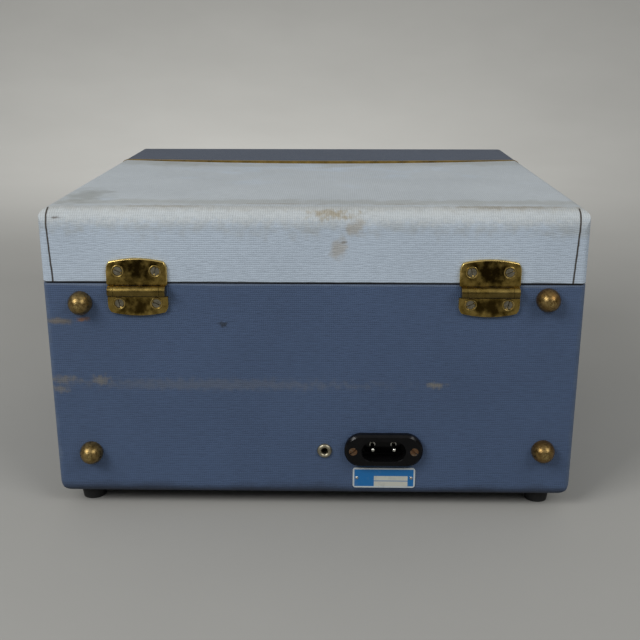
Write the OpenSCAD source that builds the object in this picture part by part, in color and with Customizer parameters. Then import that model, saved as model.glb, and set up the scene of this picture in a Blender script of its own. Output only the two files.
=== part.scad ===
// Portable reel-to-reel tape recorder in a cloth-covered carrying case, drawn with its lid closed.
// Millimetres. +Z is up, +Y the back with the hinges and sockets, -Y the front with the handle.
// The origin lies on the floor under the middle of the whole machine.

/* [Case] */
// Width of the case
case_w = 340; // [330:1:370]
// Depth of the case, front to back
case_d = 322; // [316:1:350]
// Height of the lower body without its feet
body_h = 145; // [142:1:165]
// Height of the lid
lid_h = 46; // [44:1:60]
// Thickness of the body's plywood
wall = 8; // [6:0.5:9]
// Thickness of the lid's side boards
lid_wall = 6.5; // [5:0.5:8]
// Thickness of the lid's bent top sheet
lid_sheet = 4.5; // [3.5:0.5:6]
// Gap of the seam between the top sheet and a side board
lid_seam = 0.5; // [0.2:0.1:1]
// Radius of the body's lower left and right edges
bottom_r = 11; // [9:0.5:14]
// Radius of the lid's back top edge
bend_r = 12; // [9:0.5:16]
// Radius of the hood's front top edge
hood_r = 5; // [3:0.5:12]
// Radius of the lid's left and right top edges
lid_side_r = 6.5; // [4:0.5:8]
// Radius of the body's lower front and back edges
under_r = 6; // [3:0.5:8]
// Radius of the two back corners, seen from above
edge_r = 4; // [2:0.5:6]
// Radius of the two front corners, seen from above
corner_r = 12; // [6:0.5:14]
// Depth of the lid's dark front hood
hood_d = 87; // [70:1:110]
// Width of the gilt bead between hood and lid top
bead_w = 3; // [2:0.5:5]
// Thickness of the gilt bead
bead_t = 2; // [1:0.5:3]
// Height of the bead above the lid's top
bead_proud = 0.5; // [0.3:0.1:2]
// Thickness of the black strip between body and lid
seal_t = 1.2; // [0.8:0.1:2]
// Width of the black strip
seal_w = 3; // [2:0.5:3.5]
// Setback of the black strip from the outer faces
seal_inset = 1.2; // [0.5:0.1:2]
// Thickness of the lid's lining
lining_t = 1; // [0.6:0.1:2]

/* [Feet and studs] */
// Diameter of a rubber foot at the case
foot_d = 17; // [15:1:24]
// Height of a rubber foot
foot_h = 10; // [8:0.5:14]
// Distance of a foot's middle from the outer faces
foot_inset = 18; // [16:1:40]
// Diameter of a stud
stud_d = 15; // [12:0.5:18]
// Height of a stud's dome
stud_h = 10; // [8:0.5:14]
// Distance of a stud's middle from the side faces
stud_inset = 23.3; // [18:0.1:34]
// Distance of the upper studs below the rim
stud_top = 12.4; // [12:0.1:20]
// Distance of the lower studs above the underside
stud_low = 29.9; // [22:0.1:45]
// How much higher the two hand-nailed studs on the right sit, seen from the back
stud_rise = 3.2; // [0:0.1:4]
// How much farther out the lower one of those sits
stud_out = 3.6; // [0:0.1:6]

/* [Hinges] */
// Width of a hinge
hinge_w = 38; // [32:1:46]
// Distance of a hinge's middle from the side face
hinge_inset = 60; // [52:1:80]
// Distance of the hinge axis below the rim
hinge_drop = 4; // [3.8:0.2:5]
// Diameter of the hinge barrel
barrel_d = 7.2; // [6:0.2:7.6]
// Diameter of the hinge pin
hinge_pin_d = 3; // [2:0.1:3.6]
// Thickness of a hinge leaf
leaf_t = 2; // [1.4:0.1:2.4]
// Reach of the lid leaf above the lid's lower edge
leaf_up = 15.4; // [13:0.2:18]
// Reach of the body leaf below the hinge axis
leaf_down = 16.2; // [14:0.2:20]
// Distance between the two screws of a leaf
leaf_screw_pitch = 23.4; // [18:0.2:24]
// Diameter of a screw's head
screw_head_d = 5.4; // [4.4:0.2:6]

/* [Sockets] */
// Width of the mains inlet
inlet_w = 51.5; // [48:0.5:60]
// Height of the mains inlet
inlet_h = 23; // [21:0.5:28]
// Height of the inlet's face above the back panel
inlet_t = 5; // [3:0.5:7]
// Sideways place of the inlet, from the middle
inlet_x = -46; // [-70:0.5:-42]
// Height of the inlet's middle above the underside
inlet_up = 33.5; // [26:0.5:45]
// Distance between the inlet's pins
inlet_pin_pitch = 14; // [12:0.5:16]
// Diameter of an inlet pin
inlet_pin_d = 3; // [2.4:0.1:4]
// Distance between the inlet's screws
inlet_screw_pitch = 40; // [39:0.5:42]
// Sideways place of the jack socket, from the middle
jack_x = -7.3; // [-10:0.1:20]
// Height of the jack socket's middle above the underside
jack_up = 32; // [24:0.5:60]
// Diameter of the jack socket's rim
jack_d = 9.8; // [8:0.1:12]
// Bore of the jack socket
jack_bore_d = 4; // [3:0.1:5]

/* [Carrying handle] */
// Distance between the outer faces of the two pivot lugs
handle_span = 150; // [130:1:180]
// Thickness of the grip
handle_t = 14; // [12:1:18]
// Length from the pivot to the far side of the grip
handle_len = 34; // [30:1:36]
// Width of the grip
grip_h = 15; // [12:1:17]
// Width of an arm of the handle
arm_w = 13; // [12:0.5:18]
// Gap between the hanging handle and the case
handle_clear = 2; // [1.5:0.5:5]
// Diameter of the pivot pins
handle_pin_d = 5; // [4:0.5:6]
// Distance of the pivot below the rim
handle_low = 18; // [14:0.5:20]

/* [Locks] */
// Distance of a lock's middle from the side face
lock_inset = 48; // [30:1:58]
// Width of a lock
lock_w = 36; // [34:1:42]
// Height of a lock
lock_h = 24; // [22:1:30]
// Depth of a lock in front of the case
lock_t = 6; // [5.5:0.5:8]
// Distance of a lock below the rim
lock_low = 3; // [2:0.5:6]
// Travel of the bolt
bolt_throw = 6; // [5:0.5:6]

/* [Loudspeaker] */
// Width of the grille
grille_w = 214; // [190:1:230]
// Height of the grille
grille_h = 76; // [74:1:84]
// Depth of the grille in front of the case
grille_t = 4; // [3:0.5:6]
// Height of the grille's middle above the underside
grille_up = 49; // [48:0.5:53]
// Number of louvre bars
louvres = 9; // [5:1:10]
// Width of the loudspeaker
speaker_w = 150; // [120:1:170]
// Height of the loudspeaker
speaker_h = 78; // [66:1:80]
// Depth of the loudspeaker
speaker_d = 52; // [44:1:58]

/* [Deck] */
// Thickness of the deck plate
deck_t = 2; // [1.5:0.1:3]
// Distance of the deck below the rim
deck_drop = 6; // [5:0.5:9]
// Diameter of a reel
reel_d = 127; // [120:1:140]
// Distance between the two reels' middles
reel_pitch = 152; // [146:1:160]
// Diameter of a reel's hub
hub_d = 44; // [36:1:50]
// Diameter of the full tape pack on the supply reel
supply_pack_d = 104; // [60:1:112]
// Diameter of the tape pack on the take-up reel
takeup_pack_d = 68; // [56:1:112]
// Width of the tape
tape_w = 6.3; // [6:0.1:7]
// Thickness of a reel's flange
flange_t = 1.6; // [1.2:0.1:2]
// Diameter of a reel spindle
spindle_d = 8; // [7:0.1:9]
// Height of the turntables' seat above the deck
seat_rise = 5; // [4.5:0.1:7]
// Diameter of the capstan
capstan_d = 5; // [4:0.1:7]
// Diameter of the flywheel
flywheel_d = 84; // [70:1:88]
// Diameter of the pinch roller
roller_d = 18; // [14:0.5:20]
// Turn of the pinch arm between play and stop, in degrees
pinch_turn = 8; // [5:0.5:10]
// Depth of the head cover
cover_d = 44; // [40:1:48]
// Height of the head cover
cover_h = 26; // [24:1:30]

/* [Keys and knobs] */
// Width of a key
key_w = 20; // [16:0.5:22]
// Gap between two keys
key_gap = 1; // [0.8:0.1:2]
// Length of a key
key_len = 46; // [40:1:48]
// Height of the keys above the deck
key_rise = 8; // [6:0.5:10]
// Diameter of the keys' shaft
key_shaft_d = 5; // [4:0.5:6]
// Diameter of a knob
knob_d = 36; // [30:1:40]
// Height of a knob
knob_h = 16; // [14:1:20]
// Sideways place of the knobs
knob_x = 105; // [95:1:125]
// Diameter of the tuning eye
eye_d = 28; // [24:1:30]

/* [Drive and amplifier] */
// Width of the motor's core
motor_w = 76; // [66:1:80]
// Height of the motor's core
motor_core_h = 32; // [26:1:36]
// Diameter of the motor's shaft
motor_shaft_d = 6; // [5:0.5:8]
// Diameter of the motor's pulley
motor_pulley_d = 16; // [12:1:20]
// Width of the amplifier chassis
amp_w = 256; // [250:1:280]
// Depth of the amplifier chassis
amp_d = 52; // [50:1:56]
// Height of the amplifier chassis
amp_h = 30; // [24:1:34]
// Diameter of a valve
valve_d = 22; // [18:1:24]
// Height of a valve
valve_h = 46; // [40:1:47]

/* [Hidden] */
$fn = 64;

// Clearances: running fit of a shaft, seat of a fixed pin, free gap of moving pieces, cut past a face
run_gap = 0.05;
seat_gap = 0.02;
free_gap = 0.3;
past = 1;

// Colours
slate = "#42526b";
pale_blue = "#969ca0";
dark_slate = "#525864";
gilt = "#b99a55";
brass = "#8a7443";
steel = "#8d9093";
nickel = "#b4b4ae";
bakelite = "#18171a";
rubber = "#1d1d1f";
ivory = "#d8cfb6";
plywood = "#a98559";
tape_brown = "#4a2f22";
iron = "#4c4d50";
red = "#9c3a2e";
eye_green = "#2f5a3c";
glass = "#c9d2d0";

// Main planes of the case
z_under = foot_h;
z_floor = z_under + wall;
z_rim = z_under + body_h;
z_lid = z_rim + seal_t;
z_top = z_lid + lid_h;
half_w = case_w / 2;
barrel_r = barrel_d / 2;
barrel_off = 0.1;
handle_off = handle_clear + handle_t / 2;
button_t = 3.5;
reach_front = max(handle_off + handle_t / 2, lock_t + free_gap + button_t, grille_t);
reach_back = max(stud_h, barrel_off + barrel_d, inlet_t);
y_back = case_d / 2 + (reach_front - reach_back) / 2;
y_front = y_back - case_d;
in_x = half_w - wall;
in_front = y_front + wall;
in_back = y_back - wall;
split_y = y_front + hood_d;
plan_r = [corner_r, corner_r, edge_r, edge_r];
// Least radius of an inner corner
inner_r = 1;

// Hinges
hinge_pitch = case_w - 2 * hinge_inset;
axis_y = y_back + barrel_off + barrel_r;
axis_z = z_rim - hinge_drop;
end_knuckle = 4.6;
knuckle_gap = 0.2;
// Setback of the barrel's ends from the leaf's sides
barrel_in = 1;
barrel_half = hinge_w / 2 - barrel_in;
leaf_corner_r = 7;
leaf_arch_r = 70;
leaf_screw_in = 8;
lid_leaf_low = z_rim + knuckle_gap;
lid_screw_z = z_lid + leaf_up - leaf_screw_in;
body_screw_z = axis_z - leaf_down + leaf_screw_in;
screw_d = 3;
screw_slot_w = 0.8;
screw_slot_deep = 0.9;
body_screw_len = 9;
lid_screw_short = 0.6;
lid_screw_len = leaf_t + lid_sheet - lid_screw_short;
inlet_screw_len = body_screw_len + inlet_t - leaf_t;

// Studs and feet
stud_x = half_w - stud_inset;
stud_z0 = z_under + stud_low;
stud_z1 = z_rim - stud_top;
stud_places = [
    [stud_x, stud_z0], [stud_x, stud_z1],
    [-stud_x - stud_out, stud_z0 + stud_rise], [-stud_x, stud_z1 + stud_rise]
];
stud_shank_d = 4;
blind_end = 2;
stud_shank_len = wall - blind_end;
foot_xs = [-half_w + foot_inset, half_w - foot_inset];
foot_ys = [y_front + foot_inset, y_back - foot_inset];
foot_taper = 2.8;
foot_well_d = 7;
foot_floor = 4;
foot_screw_len = foot_floor + wall - blind_end;

// Sockets
inlet_z = z_under + inlet_up;
jack_z = z_under + jack_up;
inlet_recess_w = 29;
inlet_recess_h = 14;
inlet_recess_deep = 12;
inlet_plug_wall = 2.5;
inlet_plug_w = inlet_recess_w + 2 * inlet_plug_wall;
inlet_plug_h = inlet_recess_h + 2 * inlet_plug_wall;
inlet_plug_len = 20;
inlet_pin_tip = 2;
inlet_pin_root = 0.4;
inlet_edge = 1.5;
jack_rim_t = 1.8;
jack_wall = 1.5;
jack_barrel_d = jack_bore_d + 2 * jack_wall;
jack_inside = 8;
jack_nut_d = 13;
jack_nut_t = 3;

// Handle
pivot_y = y_front - handle_off;
pivot_z = z_rim - handle_low;
lug_t = 8;
lug_r = 6;
lug_plate_t = 2;
lug_plate_w = 17;
lug_plate_h = 28;
lug_plate_r = 4;
handle_side_gap = 0.4;
handle_half = handle_span / 2 - lug_t - handle_side_gap;
handle_pin_len = 10;
grip_edge_r = 6;
handle_corner_r = 17;
handle_top_r = 3;
handle_inner_r = 8;

// Locks
lock_x = half_w - lock_inset;
lock_wall = 1.5;
lock_top = z_rim - lock_low;
tongue_t = 1.5;
tongue_off = 0.7;
tongue_left = -9;
tongue_right = 3;
tongue_in = 17;
tongue_len = lock_low + tongue_in;
notch_deep = 6;
bolt_h = 4;
bolt_len = 11;
bolt_gap = 1;
bolt_drop = 10;
bolt_z = lock_top - bolt_drop;
stem_w = 4;
stem_h = 3;
button_w = 12;
button_h = 9;
strike_w = 22;
strike_h = 14;
strike_up = 2;
strike_low_r = 2;
strike_top_r = 5;
lock_r = 4;
button_r = 2;
button_groove_r = 0.8;
button_groove_pitch = 3;
// Layer in front of the panel in which the lock's tongue and bolt lie
tongue_y0 = y_front - tongue_off - tongue_t;
tongue_y1 = y_front - tongue_off;
stem_x = tongue_right + bolt_gap + bolt_len / 2;

// Loudspeaker
grille_z = z_under + grille_up;
grille_rim = 7;
louvre_d = 4.4;
baffle_lap = 7;
speaker_plate_t = 2;
magnet_d = 50;
magnet_h = 20;
cone_t = 0.8;
cone_inset = 2.3;
coil_d = 26;
coil_gap = 2;
basket_t = 3;
cone_lift = 1;
taper_lip = 0.5;
grille_r = 10;
grille_hole_r = 4;

// Deck heights
deck_z = z_rim - deck_drop;
deck_low = deck_z - deck_t;
deck_gap = 0.5;
deck_r = 2;
batten = 12;
batten_gap = 0.5;
seat_z = deck_z + seat_rise;
tape_side = 0.3;
reel_inside = tape_w + 2 * tape_side;
tape_z = seat_z + flange_t + tape_side;
reel_top = seat_z + 2 * flange_t + reel_inside;
reel_spoke_w = 22;
reel_rim_w = 8;
reel_hub_lip = 5;
key_slot_w = 1.6;
key_slot_h = 1.6;

// Deck plan, from the front rim to the reels
keys = 5;
key_row = keys * key_w + (keys - 1) * key_gap;
key_inset = 7;
key_back = 5;
key_hub_r = 5;
key_axis_drop = 9;
key_front = in_front + key_inset;
key_axis_y = key_front + key_len + key_back;
key_axis_z = deck_z - key_axis_drop;
key_window_gap = 2.5;
key_window_back = 2;
key_top_t = 5;
key_skirt_h = 14;
key_wall = 4;
key_web_t = 5;
key_web_low = 2;
key_edge_r = 4;
key_small_r = 1;
key_dish = 1.2;
key_dish_r = 160;
cheek_t = 2;
cheek_front = 8;
cheek_back = 10;
cheek_low = 16;
cheek_r = 3;
pot_bush_r = 5;
pot_bush_rise = 0.5;
pot_shaft_d = 6;
pot_r = 12;
pot_h = 12;
knob_lift = 1;
knob_top_t = 3;
knob_skirt_t = 2;
knob_slope_h = 2;
knob_grip_in = 3;
knob_edge = 2;
knob_dish_r = 6;
knob_dish = 0.6;
flutes = 24;
flute_r = 1.4;
flute_out = 0.6;
flute_low = 4.5;
eye_len = 62;
eye_rise = 5;
knob_inset = 43;
knob_y = in_front + knob_inset;
cover_gap = 6;
cover_y = key_axis_y + key_hub_r + cover_gap;
cover_left = -62;
cover_right = 20;
cover_wall = 2;
cover_side_r = 8;
cover_front_r = 14;
// Sideways place and width of each head
heads = [[-42, 13], [-10, 16]];
head_depth = 16;
head_nose = 5;
head_nose_r = 11;
head_rise = 5;
head_foot_w = 22;
head_foot_t = 2;
head_foot_r = 2;
head_foot_back = 3;
tape_t = 0.4;
tape_gap = 3.5;
tape_y = cover_y + cover_d + tape_gap;
capstan_r = capstan_d / 2;
capstan_x = 40;
capstan = [capstan_x, tape_y + tape_t / 2 + free_gap + capstan_r];
guide_r = 4;
guide_x = 108;
guide_lip = 2.5;
guide_lip_t = 1.5;
guide_slope = 0.2;
guide_y = tape_y + tape_t / 2 + free_gap + guide_r;
reel_gap = 33;
reel_y = tape_y + reel_gap + reel_d / 2;
supply = [-reel_pitch / 2, reel_y];
takeup = [reel_pitch / 2, reel_y];
eye_right = 7;
eye_up = 46;
eye_pos = [knob_x + eye_right, knob_y + eye_up];

// Pinch roller: the play position touches the tape, the drawn one is turned back by pinch_turn
roller_r = roller_d / 2;
pinch_right = 32;
pinch_front = 23.5;
pinch_pivot = [capstan_x + pinch_right, tape_y - pinch_front];
roller_play = [capstan_x, tape_y - tape_t / 2 - free_gap - roller_r];
roller_arm = roller_play - pinch_pivot;
pinch_len = norm(roller_arm);
pinch_angle = atan2(roller_arm[1], roller_arm[0]) + pinch_turn;
roller_rest = pinch_pivot + pinch_len * [cos(pinch_angle), sin(pinch_angle)];
pinch_pin_d = 6;
pinch_post_rise = 2;
pinch_shoulder = 2;
roller_pin_d = 4;
arm_lift = 2.5;
arm_z = deck_z + arm_lift;
arm_t = 2;
arm_boss_r = 6;
pinch_arm_w = 10;
roller_collar = 1.5;
roller_pin_rise = 2;
roller_lift = 5.6;
roller_low = deck_z + roller_lift;
roller_over = 2.5;
roller_h = tape_z + tape_w + roller_over - roller_low;

// Drive, measured down from the deck
sleeve_r = 6.5;
sleeve_flange_r = 9;
sleeve_len = 22;
turntable_d = 64;
turntable_t = 2.5;
shaft_d = 6;
belt_w = 5;
belt_t = 1.2;
fly_top = -sleeve_len - free_gap;
fly_rim_h = 14;
fly_mid = -31;
fly_web_h = 6;
fly_rim_t = 8;
fly_hub_r = 8;
small_pulley_r = 14;
pulley_r = 22;
pulley_h = 8;
pulley_lip = 1;
pulley_slope = 1.5;
spindle_rise = 7;
spindle_edge = 2;
spline_drop = 3;
pulley_mid = -47;
strap_top = -57;
strap_t = 3;
strap_w = 14;
strap_gap = 8;
strap_reach = flywheel_d / 2 + strap_gap;
pillar_r = 4;
capstan_low = strap_top + free_gap;
capstan_over = 4;
capstan_top = tape_z + tape_w + capstan_over - deck_z;
motor_left = 118;
motor_behind = 6;
motor = [capstan_x - motor_left, capstan[1] + motor_behind];
motor_top = -42;
motor_bell_h = 10;
motor_core_top = motor_top - motor_bell_h;
motor_core_low = motor_core_top - motor_core_h;
motor_bell_d = 60;
motor_foot_h = 8;
motor_low = motor_core_low - motor_foot_h;
motor_pillar_in = 6;
motor_core_r = 9;
motor_bell_slope = 6;
rotor_lip = 3;
rotor_lip_t = 1.5;
belt_side = 1;
fan_d = 62;
fan_h = 8;
fan_t = 1.5;
fan_hub_r = 6;
fan_blades = 9;
fan_gap = 4;
fan_top = motor_low - fan_gap;

// Amplifier, from the back panel
amp_behind = 21;
amp_back = in_back - amp_behind;
amp_mid = amp_back - amp_d / 2;
amp_top = z_floor + amp_h;
amp_sheet = 1.5;
// The tall pieces on the chassis end below the belt pulleys
tall_gap = 3;
tall_h = deck_z + pulley_mid - pulley_h / 2 - tall_gap - amp_top;
bulb_foot = 2;
valve_right = 14;
valve_pitch = 30;
valve_xs = [for (i = [0 : 3]) valve_right - valve_pitch * i];
mains_core = [60, 32, tall_h];
mains_coil = [43, 46, 31];
mains_x = 92;
output_core = [38, 22, 34];
output_coil = [27, 32, 20];
coil_r = 5;
output_x = -106;
can_d = 28;
can_h = tall_h;
can_edge = 2;
can_groove = 1.5;
can_groove_z = 6;
can_x = 44;

// Extrusions along the three axes
module along_x(x0, x1) {
    translate([x0, 0, 0]) rotate([90, 0, 90]) linear_extrude(x1 - x0) children();
}
module along_y(y0, y1) {
    translate([0, y1, 0]) rotate([90, 0, 0]) linear_extrude(y1 - y0) children();
}
module along_z(z0, z1) {
    translate([0, 0, z0]) linear_extrude(z1 - z0) children();
}
// A place on the outer face of the back panel, with the local +Z pointing out of it
module on_back(x, z) {
    translate([x, y_back, z]) rotate([-90, 0, 0]) children();
}
module box(a, b) {
    translate(a) cube(b - a);
}
// Rectangle from a to b with a radius for each corner: low left, low right, high right, high left
module round_box(a, b, r) {
    polygon([
        [a[0] + r[0], a[1]], [b[0] - r[1], a[1]], [b[0], a[1] + r[1]], [b[0], b[1] - r[2]],
        [b[0] - r[2], b[1]], [a[0] + r[3], b[1]], [a[0], b[1] - r[3]], [a[0], a[1] + r[0]]
    ]);
    centres = [
        [a[0] + r[0], a[1] + r[0]], [b[0] - r[1], a[1] + r[1]],
        [b[0] - r[2], b[1] - r[2]], [a[0] + r[3], b[1] - r[3]]
    ];
    for (i = [0 : 3]) {
        if (r[i] > 0) translate(centres[i]) circle(r[i]);
    }
}
// Slot outline with round ends, its middle at the origin
module slot(l, d) {
    square([l - d, d], center = true);
    for (s = [-1, 1]) translate([s * (l - d) / 2, 0]) circle(d / 2);
}
module both_sides() {
    children();
    mirror([1, 0, 0]) children();
}
// Slotted countersunk screw, head up at the origin
module screw(len, turn) {
    head_h = (screw_head_d - screw_d) / 2;
    difference() {
        union() {
            translate([0, 0, -head_h]) cylinder(h = head_h, r1 = screw_d / 2, r2 = screw_head_d / 2);
            translate([0, 0, -len]) cylinder(h = len - head_h, r = screw_d / 2);
        }
        rotate(turn) translate([0, 0, -screw_slot_deep / 2 + past / 2])
            cube([screw_head_d + past, screw_slot_w, screw_slot_deep + past], center = true);
    }
}
// Turn of a screw's slot, another for each screw of a group
function slot_turn(s, t) = 40 * s + 65 * t;
// The hole that takes such a screw
module screw_hole(len) {
    head_h = (screw_head_d - screw_d) / 2;
    r = screw_d / 2 + seat_gap;
    translate([0, 0, -head_h]) cylinder(h = head_h + seat_gap, r1 = r, r2 = r + head_h + seat_gap);
    translate([0, 0, -len]) cylinder(h = len, r = r);
}

// The outer shape of the body: section across the case, section along it, and plan
module body_outer() intersection() {
    along_y(y_front, y_back)
        round_box([-half_w, z_under], [half_w, z_rim], [bottom_r, bottom_r, 0, 0]);
    along_x(-half_w, half_w)
        round_box([y_front, z_under], [y_back, z_rim], [under_r, under_r, 0, 0]);
    along_z(z_under, z_rim)
        round_box([-half_w, y_front], [half_w, y_back], plan_r);
}
// The outer shape of the lid, made the same way
module lid_outer() intersection() {
    along_y(y_front, y_back)
        round_box([-half_w, z_lid], [half_w, z_top], [0, 0, lid_side_r, lid_side_r]);
    along_x(-half_w, half_w)
        round_box([y_front, z_lid], [y_back, z_top], [0, 0, bend_r, hood_r]);
    along_z(z_lid, z_top)
        round_box([-half_w, y_front], [half_w, y_back], plan_r);
}
// The lid's hollow, drawn in by inset on every wall
module lid_hollow(inset, low) {
    t = lid_sheet + inset;
    along_x(-half_w + lid_wall + inset, half_w - lid_wall - inset)
        round_box([y_front + t, low], [y_back - t, z_top - t],
            [0, 0, max(bend_r - t, inner_r), max(hood_r - t, inner_r)]);
}
module lid_zone(x0, x1, y0, y1) {
    box([x0, y0, z_lid - past], [x1, y1, z_top + past]);
}

module case_wrap() color(slate) difference() {
    intersection() {
        body_outer();
        box([-half_w, in_front, z_under - past], [half_w, in_back, z_rim + past]);
    }
    r = max(bottom_r - wall, inner_r);
    along_y(in_front - past, in_back + past)
        round_box([-in_x, z_floor], [in_x, z_rim + past], [r, r, 0, 0]);
    for (x = foot_xs, y = foot_ys) translate([x, y, z_under - past])
        cylinder(h = foot_screw_len - foot_floor + past, r = screw_d / 2 + seat_gap);
}

module case_back() color(slate) difference() {
    intersection() {
        body_outer();
        box([-half_w, in_back, z_under - past], [half_w, y_back + past, z_rim + past]);
    }
    for (p = stud_places) on_back(p[0], p[1])
        translate([0, 0, -stud_shank_len])
            cylinder(h = stud_shank_len + past, r = stud_shank_d / 2 + seat_gap);
    for (s = [-1, 1], t = [-1, 1]) on_back(s * hinge_pitch / 2 + t * leaf_screw_pitch / 2, body_screw_z)
        translate([0, 0, leaf_t]) screw_hole(body_screw_len);
    on_back(inlet_x, inlet_z) {
        translate([0, 0, -wall - past]) linear_extrude(wall + 2 * past)
            slot(inlet_plug_w + free_gap, inlet_plug_h + free_gap);
        for (s = [-1, 1]) translate([s * inlet_screw_pitch / 2, 0, inlet_t]) screw_hole(inlet_screw_len);
    }
    on_back(jack_x, jack_z)
        translate([0, 0, -wall - past]) cylinder(h = wall + 2 * past, r = jack_barrel_d / 2 + seat_gap);
}

module case_front() color(slate) difference() {
    intersection() {
        body_outer();
        box([-half_w, y_front - past, z_under - past], [half_w, in_front, z_rim + past]);
    }
    translate([0, 0, grille_z]) along_y(y_front - past, in_front + past)
        slot(speaker_w - 2 * baffle_lap, speaker_h - 2 * baffle_lap);
}

module deck_battens() color(plywood) {
    both_sides() box([in_x - batten, in_front, deck_low - batten], [in_x, in_back, deck_low]);
    box([-in_x + batten + batten_gap, in_back - batten, deck_low - batten],
        [in_x - batten - batten_gap, in_back, deck_low]);
}

module rubber_feet() color(rubber) for (x = foot_xs, y = foot_ys) translate([x, y, 0]) difference() {
    cylinder(h = foot_h, r1 = foot_d / 2 - foot_taper, r2 = foot_d / 2);
    translate([0, 0, foot_h - foot_floor]) rotate([180, 0, 0]) screw_hole(foot_floor + past);
    translate([0, 0, -past]) cylinder(h = foot_h - foot_floor + past, r = foot_well_d / 2);
}

// Dome of a stud: a quarter of an ellipse with a short straight rim, on a nail shank
module stud() {
    rim = 1.5;
    steps = 12;
    r = stud_d / 2;
    dome = [for (i = [0 : steps]) [r * cos(90 * i / steps), rim + (stud_h - rim) * sin(90 * i / steps)]];
    rotate_extrude() polygon(concat(
        [[0, -stud_shank_len], [stud_shank_d / 2, -stud_shank_len], [stud_shank_d / 2, 0], [r, 0]], dome
    ));
}
module back_studs() color(brass) for (p = stud_places) on_back(p[0], p[1]) stud();

// Outline of a hinge leaf with round outer corners and a slightly arched edge
module leaf_outline(z0, z1) intersection() {
    round_box([-hinge_w / 2, min(z0, z1)], [hinge_w / 2, max(z0, z1)],
        leaf_corner_r * (z1 > z0 ? [0, 0, 1, 1] : [1, 1, 0, 0]));
    translate([0, z1 - sign(z1 - z0) * leaf_arch_r]) circle(leaf_arch_r);
}
module leaf_screw_holes(z) {
    for (s = [-1, 1]) on_back(s * leaf_screw_pitch / 2, z)
        translate([0, 0, leaf_t]) screw_hole(leaf_t + past);
}
module at_hinges() {
    for (s = [-1, 1]) translate([s * hinge_pitch / 2, 0, 0]) children();
}
module barrel(x0, x1, r) {
    translate([x0, axis_y, axis_z]) rotate([0, 90, 0]) cylinder(h = x1 - x0, r = r);
}

module hinge_body_leaves() color(brass) at_hinges() difference() {
    half = hinge_w / 2 - end_knuckle - knuckle_gap;
    union() {
        difference() {
            along_y(y_back, y_back + leaf_t) leaf_outline(axis_z, axis_z - leaf_down);
            both_sides() box([half, y_back - past, axis_z - barrel_r - free_gap],
                [hinge_w, y_back + leaf_t + past, axis_z + past]);
        }
        barrel(-half, half, barrel_r);
    }
    barrel(-hinge_w, hinge_w, hinge_pin_d / 2 + seat_gap);
    leaf_screw_holes(body_screw_z);
}

module hinge_lid_leaves() color(brass) at_hinges() difference() {
    union() {
        along_y(y_back, y_back + leaf_t) leaf_outline(lid_leaf_low, z_lid + leaf_up);
        both_sides() {
            box([hinge_w / 2 - end_knuckle, y_back + barrel_off, axis_z],
                [barrel_half, y_back + leaf_t, z_lid]);
            barrel(hinge_w / 2 - end_knuckle, barrel_half, barrel_r);
        }
    }
    barrel(-hinge_w, hinge_w, hinge_pin_d / 2 + run_gap);
    leaf_screw_holes(lid_screw_z);
}

module hinge_pins() color(steel) at_hinges() barrel(-barrel_half, barrel_half, hinge_pin_d / 2);

module case_screws() color(steel) {
    for (s = [-1, 1], t = [-1, 1])
        on_back(s * hinge_pitch / 2 + t * leaf_screw_pitch / 2, body_screw_z)
            translate([0, 0, leaf_t]) screw(body_screw_len, slot_turn(s, t));
    for (s = [-1, 1]) on_back(inlet_x + s * inlet_screw_pitch / 2, inlet_z)
        translate([0, 0, inlet_t]) screw(inlet_screw_len, slot_turn(s, 0));
    for (x = foot_xs, y = foot_ys) translate([x, y, foot_h - foot_floor])
        rotate([180, 0, 0]) screw(foot_screw_len, slot_turn(sign(x), sign(y)));
}

module lid_screws() color(steel) for (s = [-1, 1], t = [-1, 1])
    on_back(s * hinge_pitch / 2 + t * leaf_screw_pitch / 2, lid_screw_z)
        translate([0, 0, leaf_t]) screw(lid_screw_len, slot_turn(t, -s));

// Slot-shaped pad with a bevelled outer edge, standing on the local XY plane
module slot_pad(l, d, h, edge) {
    linear_extrude(h - edge) slot(l, d);
    translate([0, 0, h - edge]) {
        for (s = [-1, 1]) translate([s * (l - d) / 2, 0, 0])
            cylinder(h = edge, r1 = d / 2, r2 = d / 2 - edge);
        translate([-(l - d) / 2, 0, 0]) rotate([90, 0, 90]) linear_extrude(l - d)
            polygon([[-d / 2, 0], [d / 2, 0], [d / 2 - edge, edge], [edge - d / 2, edge]]);
    }
}
module mains_inlet() color(bakelite) on_back(inlet_x, inlet_z) difference() {
    union() {
        slot_pad(inlet_w, inlet_h, inlet_t, inlet_edge);
        translate([0, 0, -inlet_plug_len]) linear_extrude(inlet_plug_len)
            slot(inlet_plug_w, inlet_plug_h);
    }
    translate([0, 0, inlet_t - inlet_recess_deep]) linear_extrude(inlet_recess_deep + past)
        slot(inlet_recess_w, inlet_recess_h);
    for (s = [-1, 1]) {
        translate([s * inlet_screw_pitch / 2, 0, inlet_t]) screw_hole(inlet_t + past);
        translate([s * inlet_pin_pitch / 2, 0, -inlet_plug_len - past])
            cylinder(h = inlet_plug_len + past, r = inlet_pin_d / 2 + inlet_pin_root + seat_gap);
    }
}
// Round-tipped pins, each thicker where the moulding holds it
module inlet_pins() color(nickel) on_back(inlet_x, inlet_z) for (s = [-1, 1])
    translate([s * inlet_pin_pitch / 2, 0, 0]) {
        r = inlet_pin_d / 2;
        floor_z = inlet_t - inlet_recess_deep;
        tip_z = inlet_t - inlet_pin_tip - r;
        translate([0, 0, -inlet_plug_len]) cylinder(h = inlet_plug_len + floor_z, r = r + inlet_pin_root);
        translate([0, 0, floor_z - past]) cylinder(h = tip_z - floor_z + past, r = r);
        translate([0, 0, tip_z]) sphere(r = r);
    }

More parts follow.
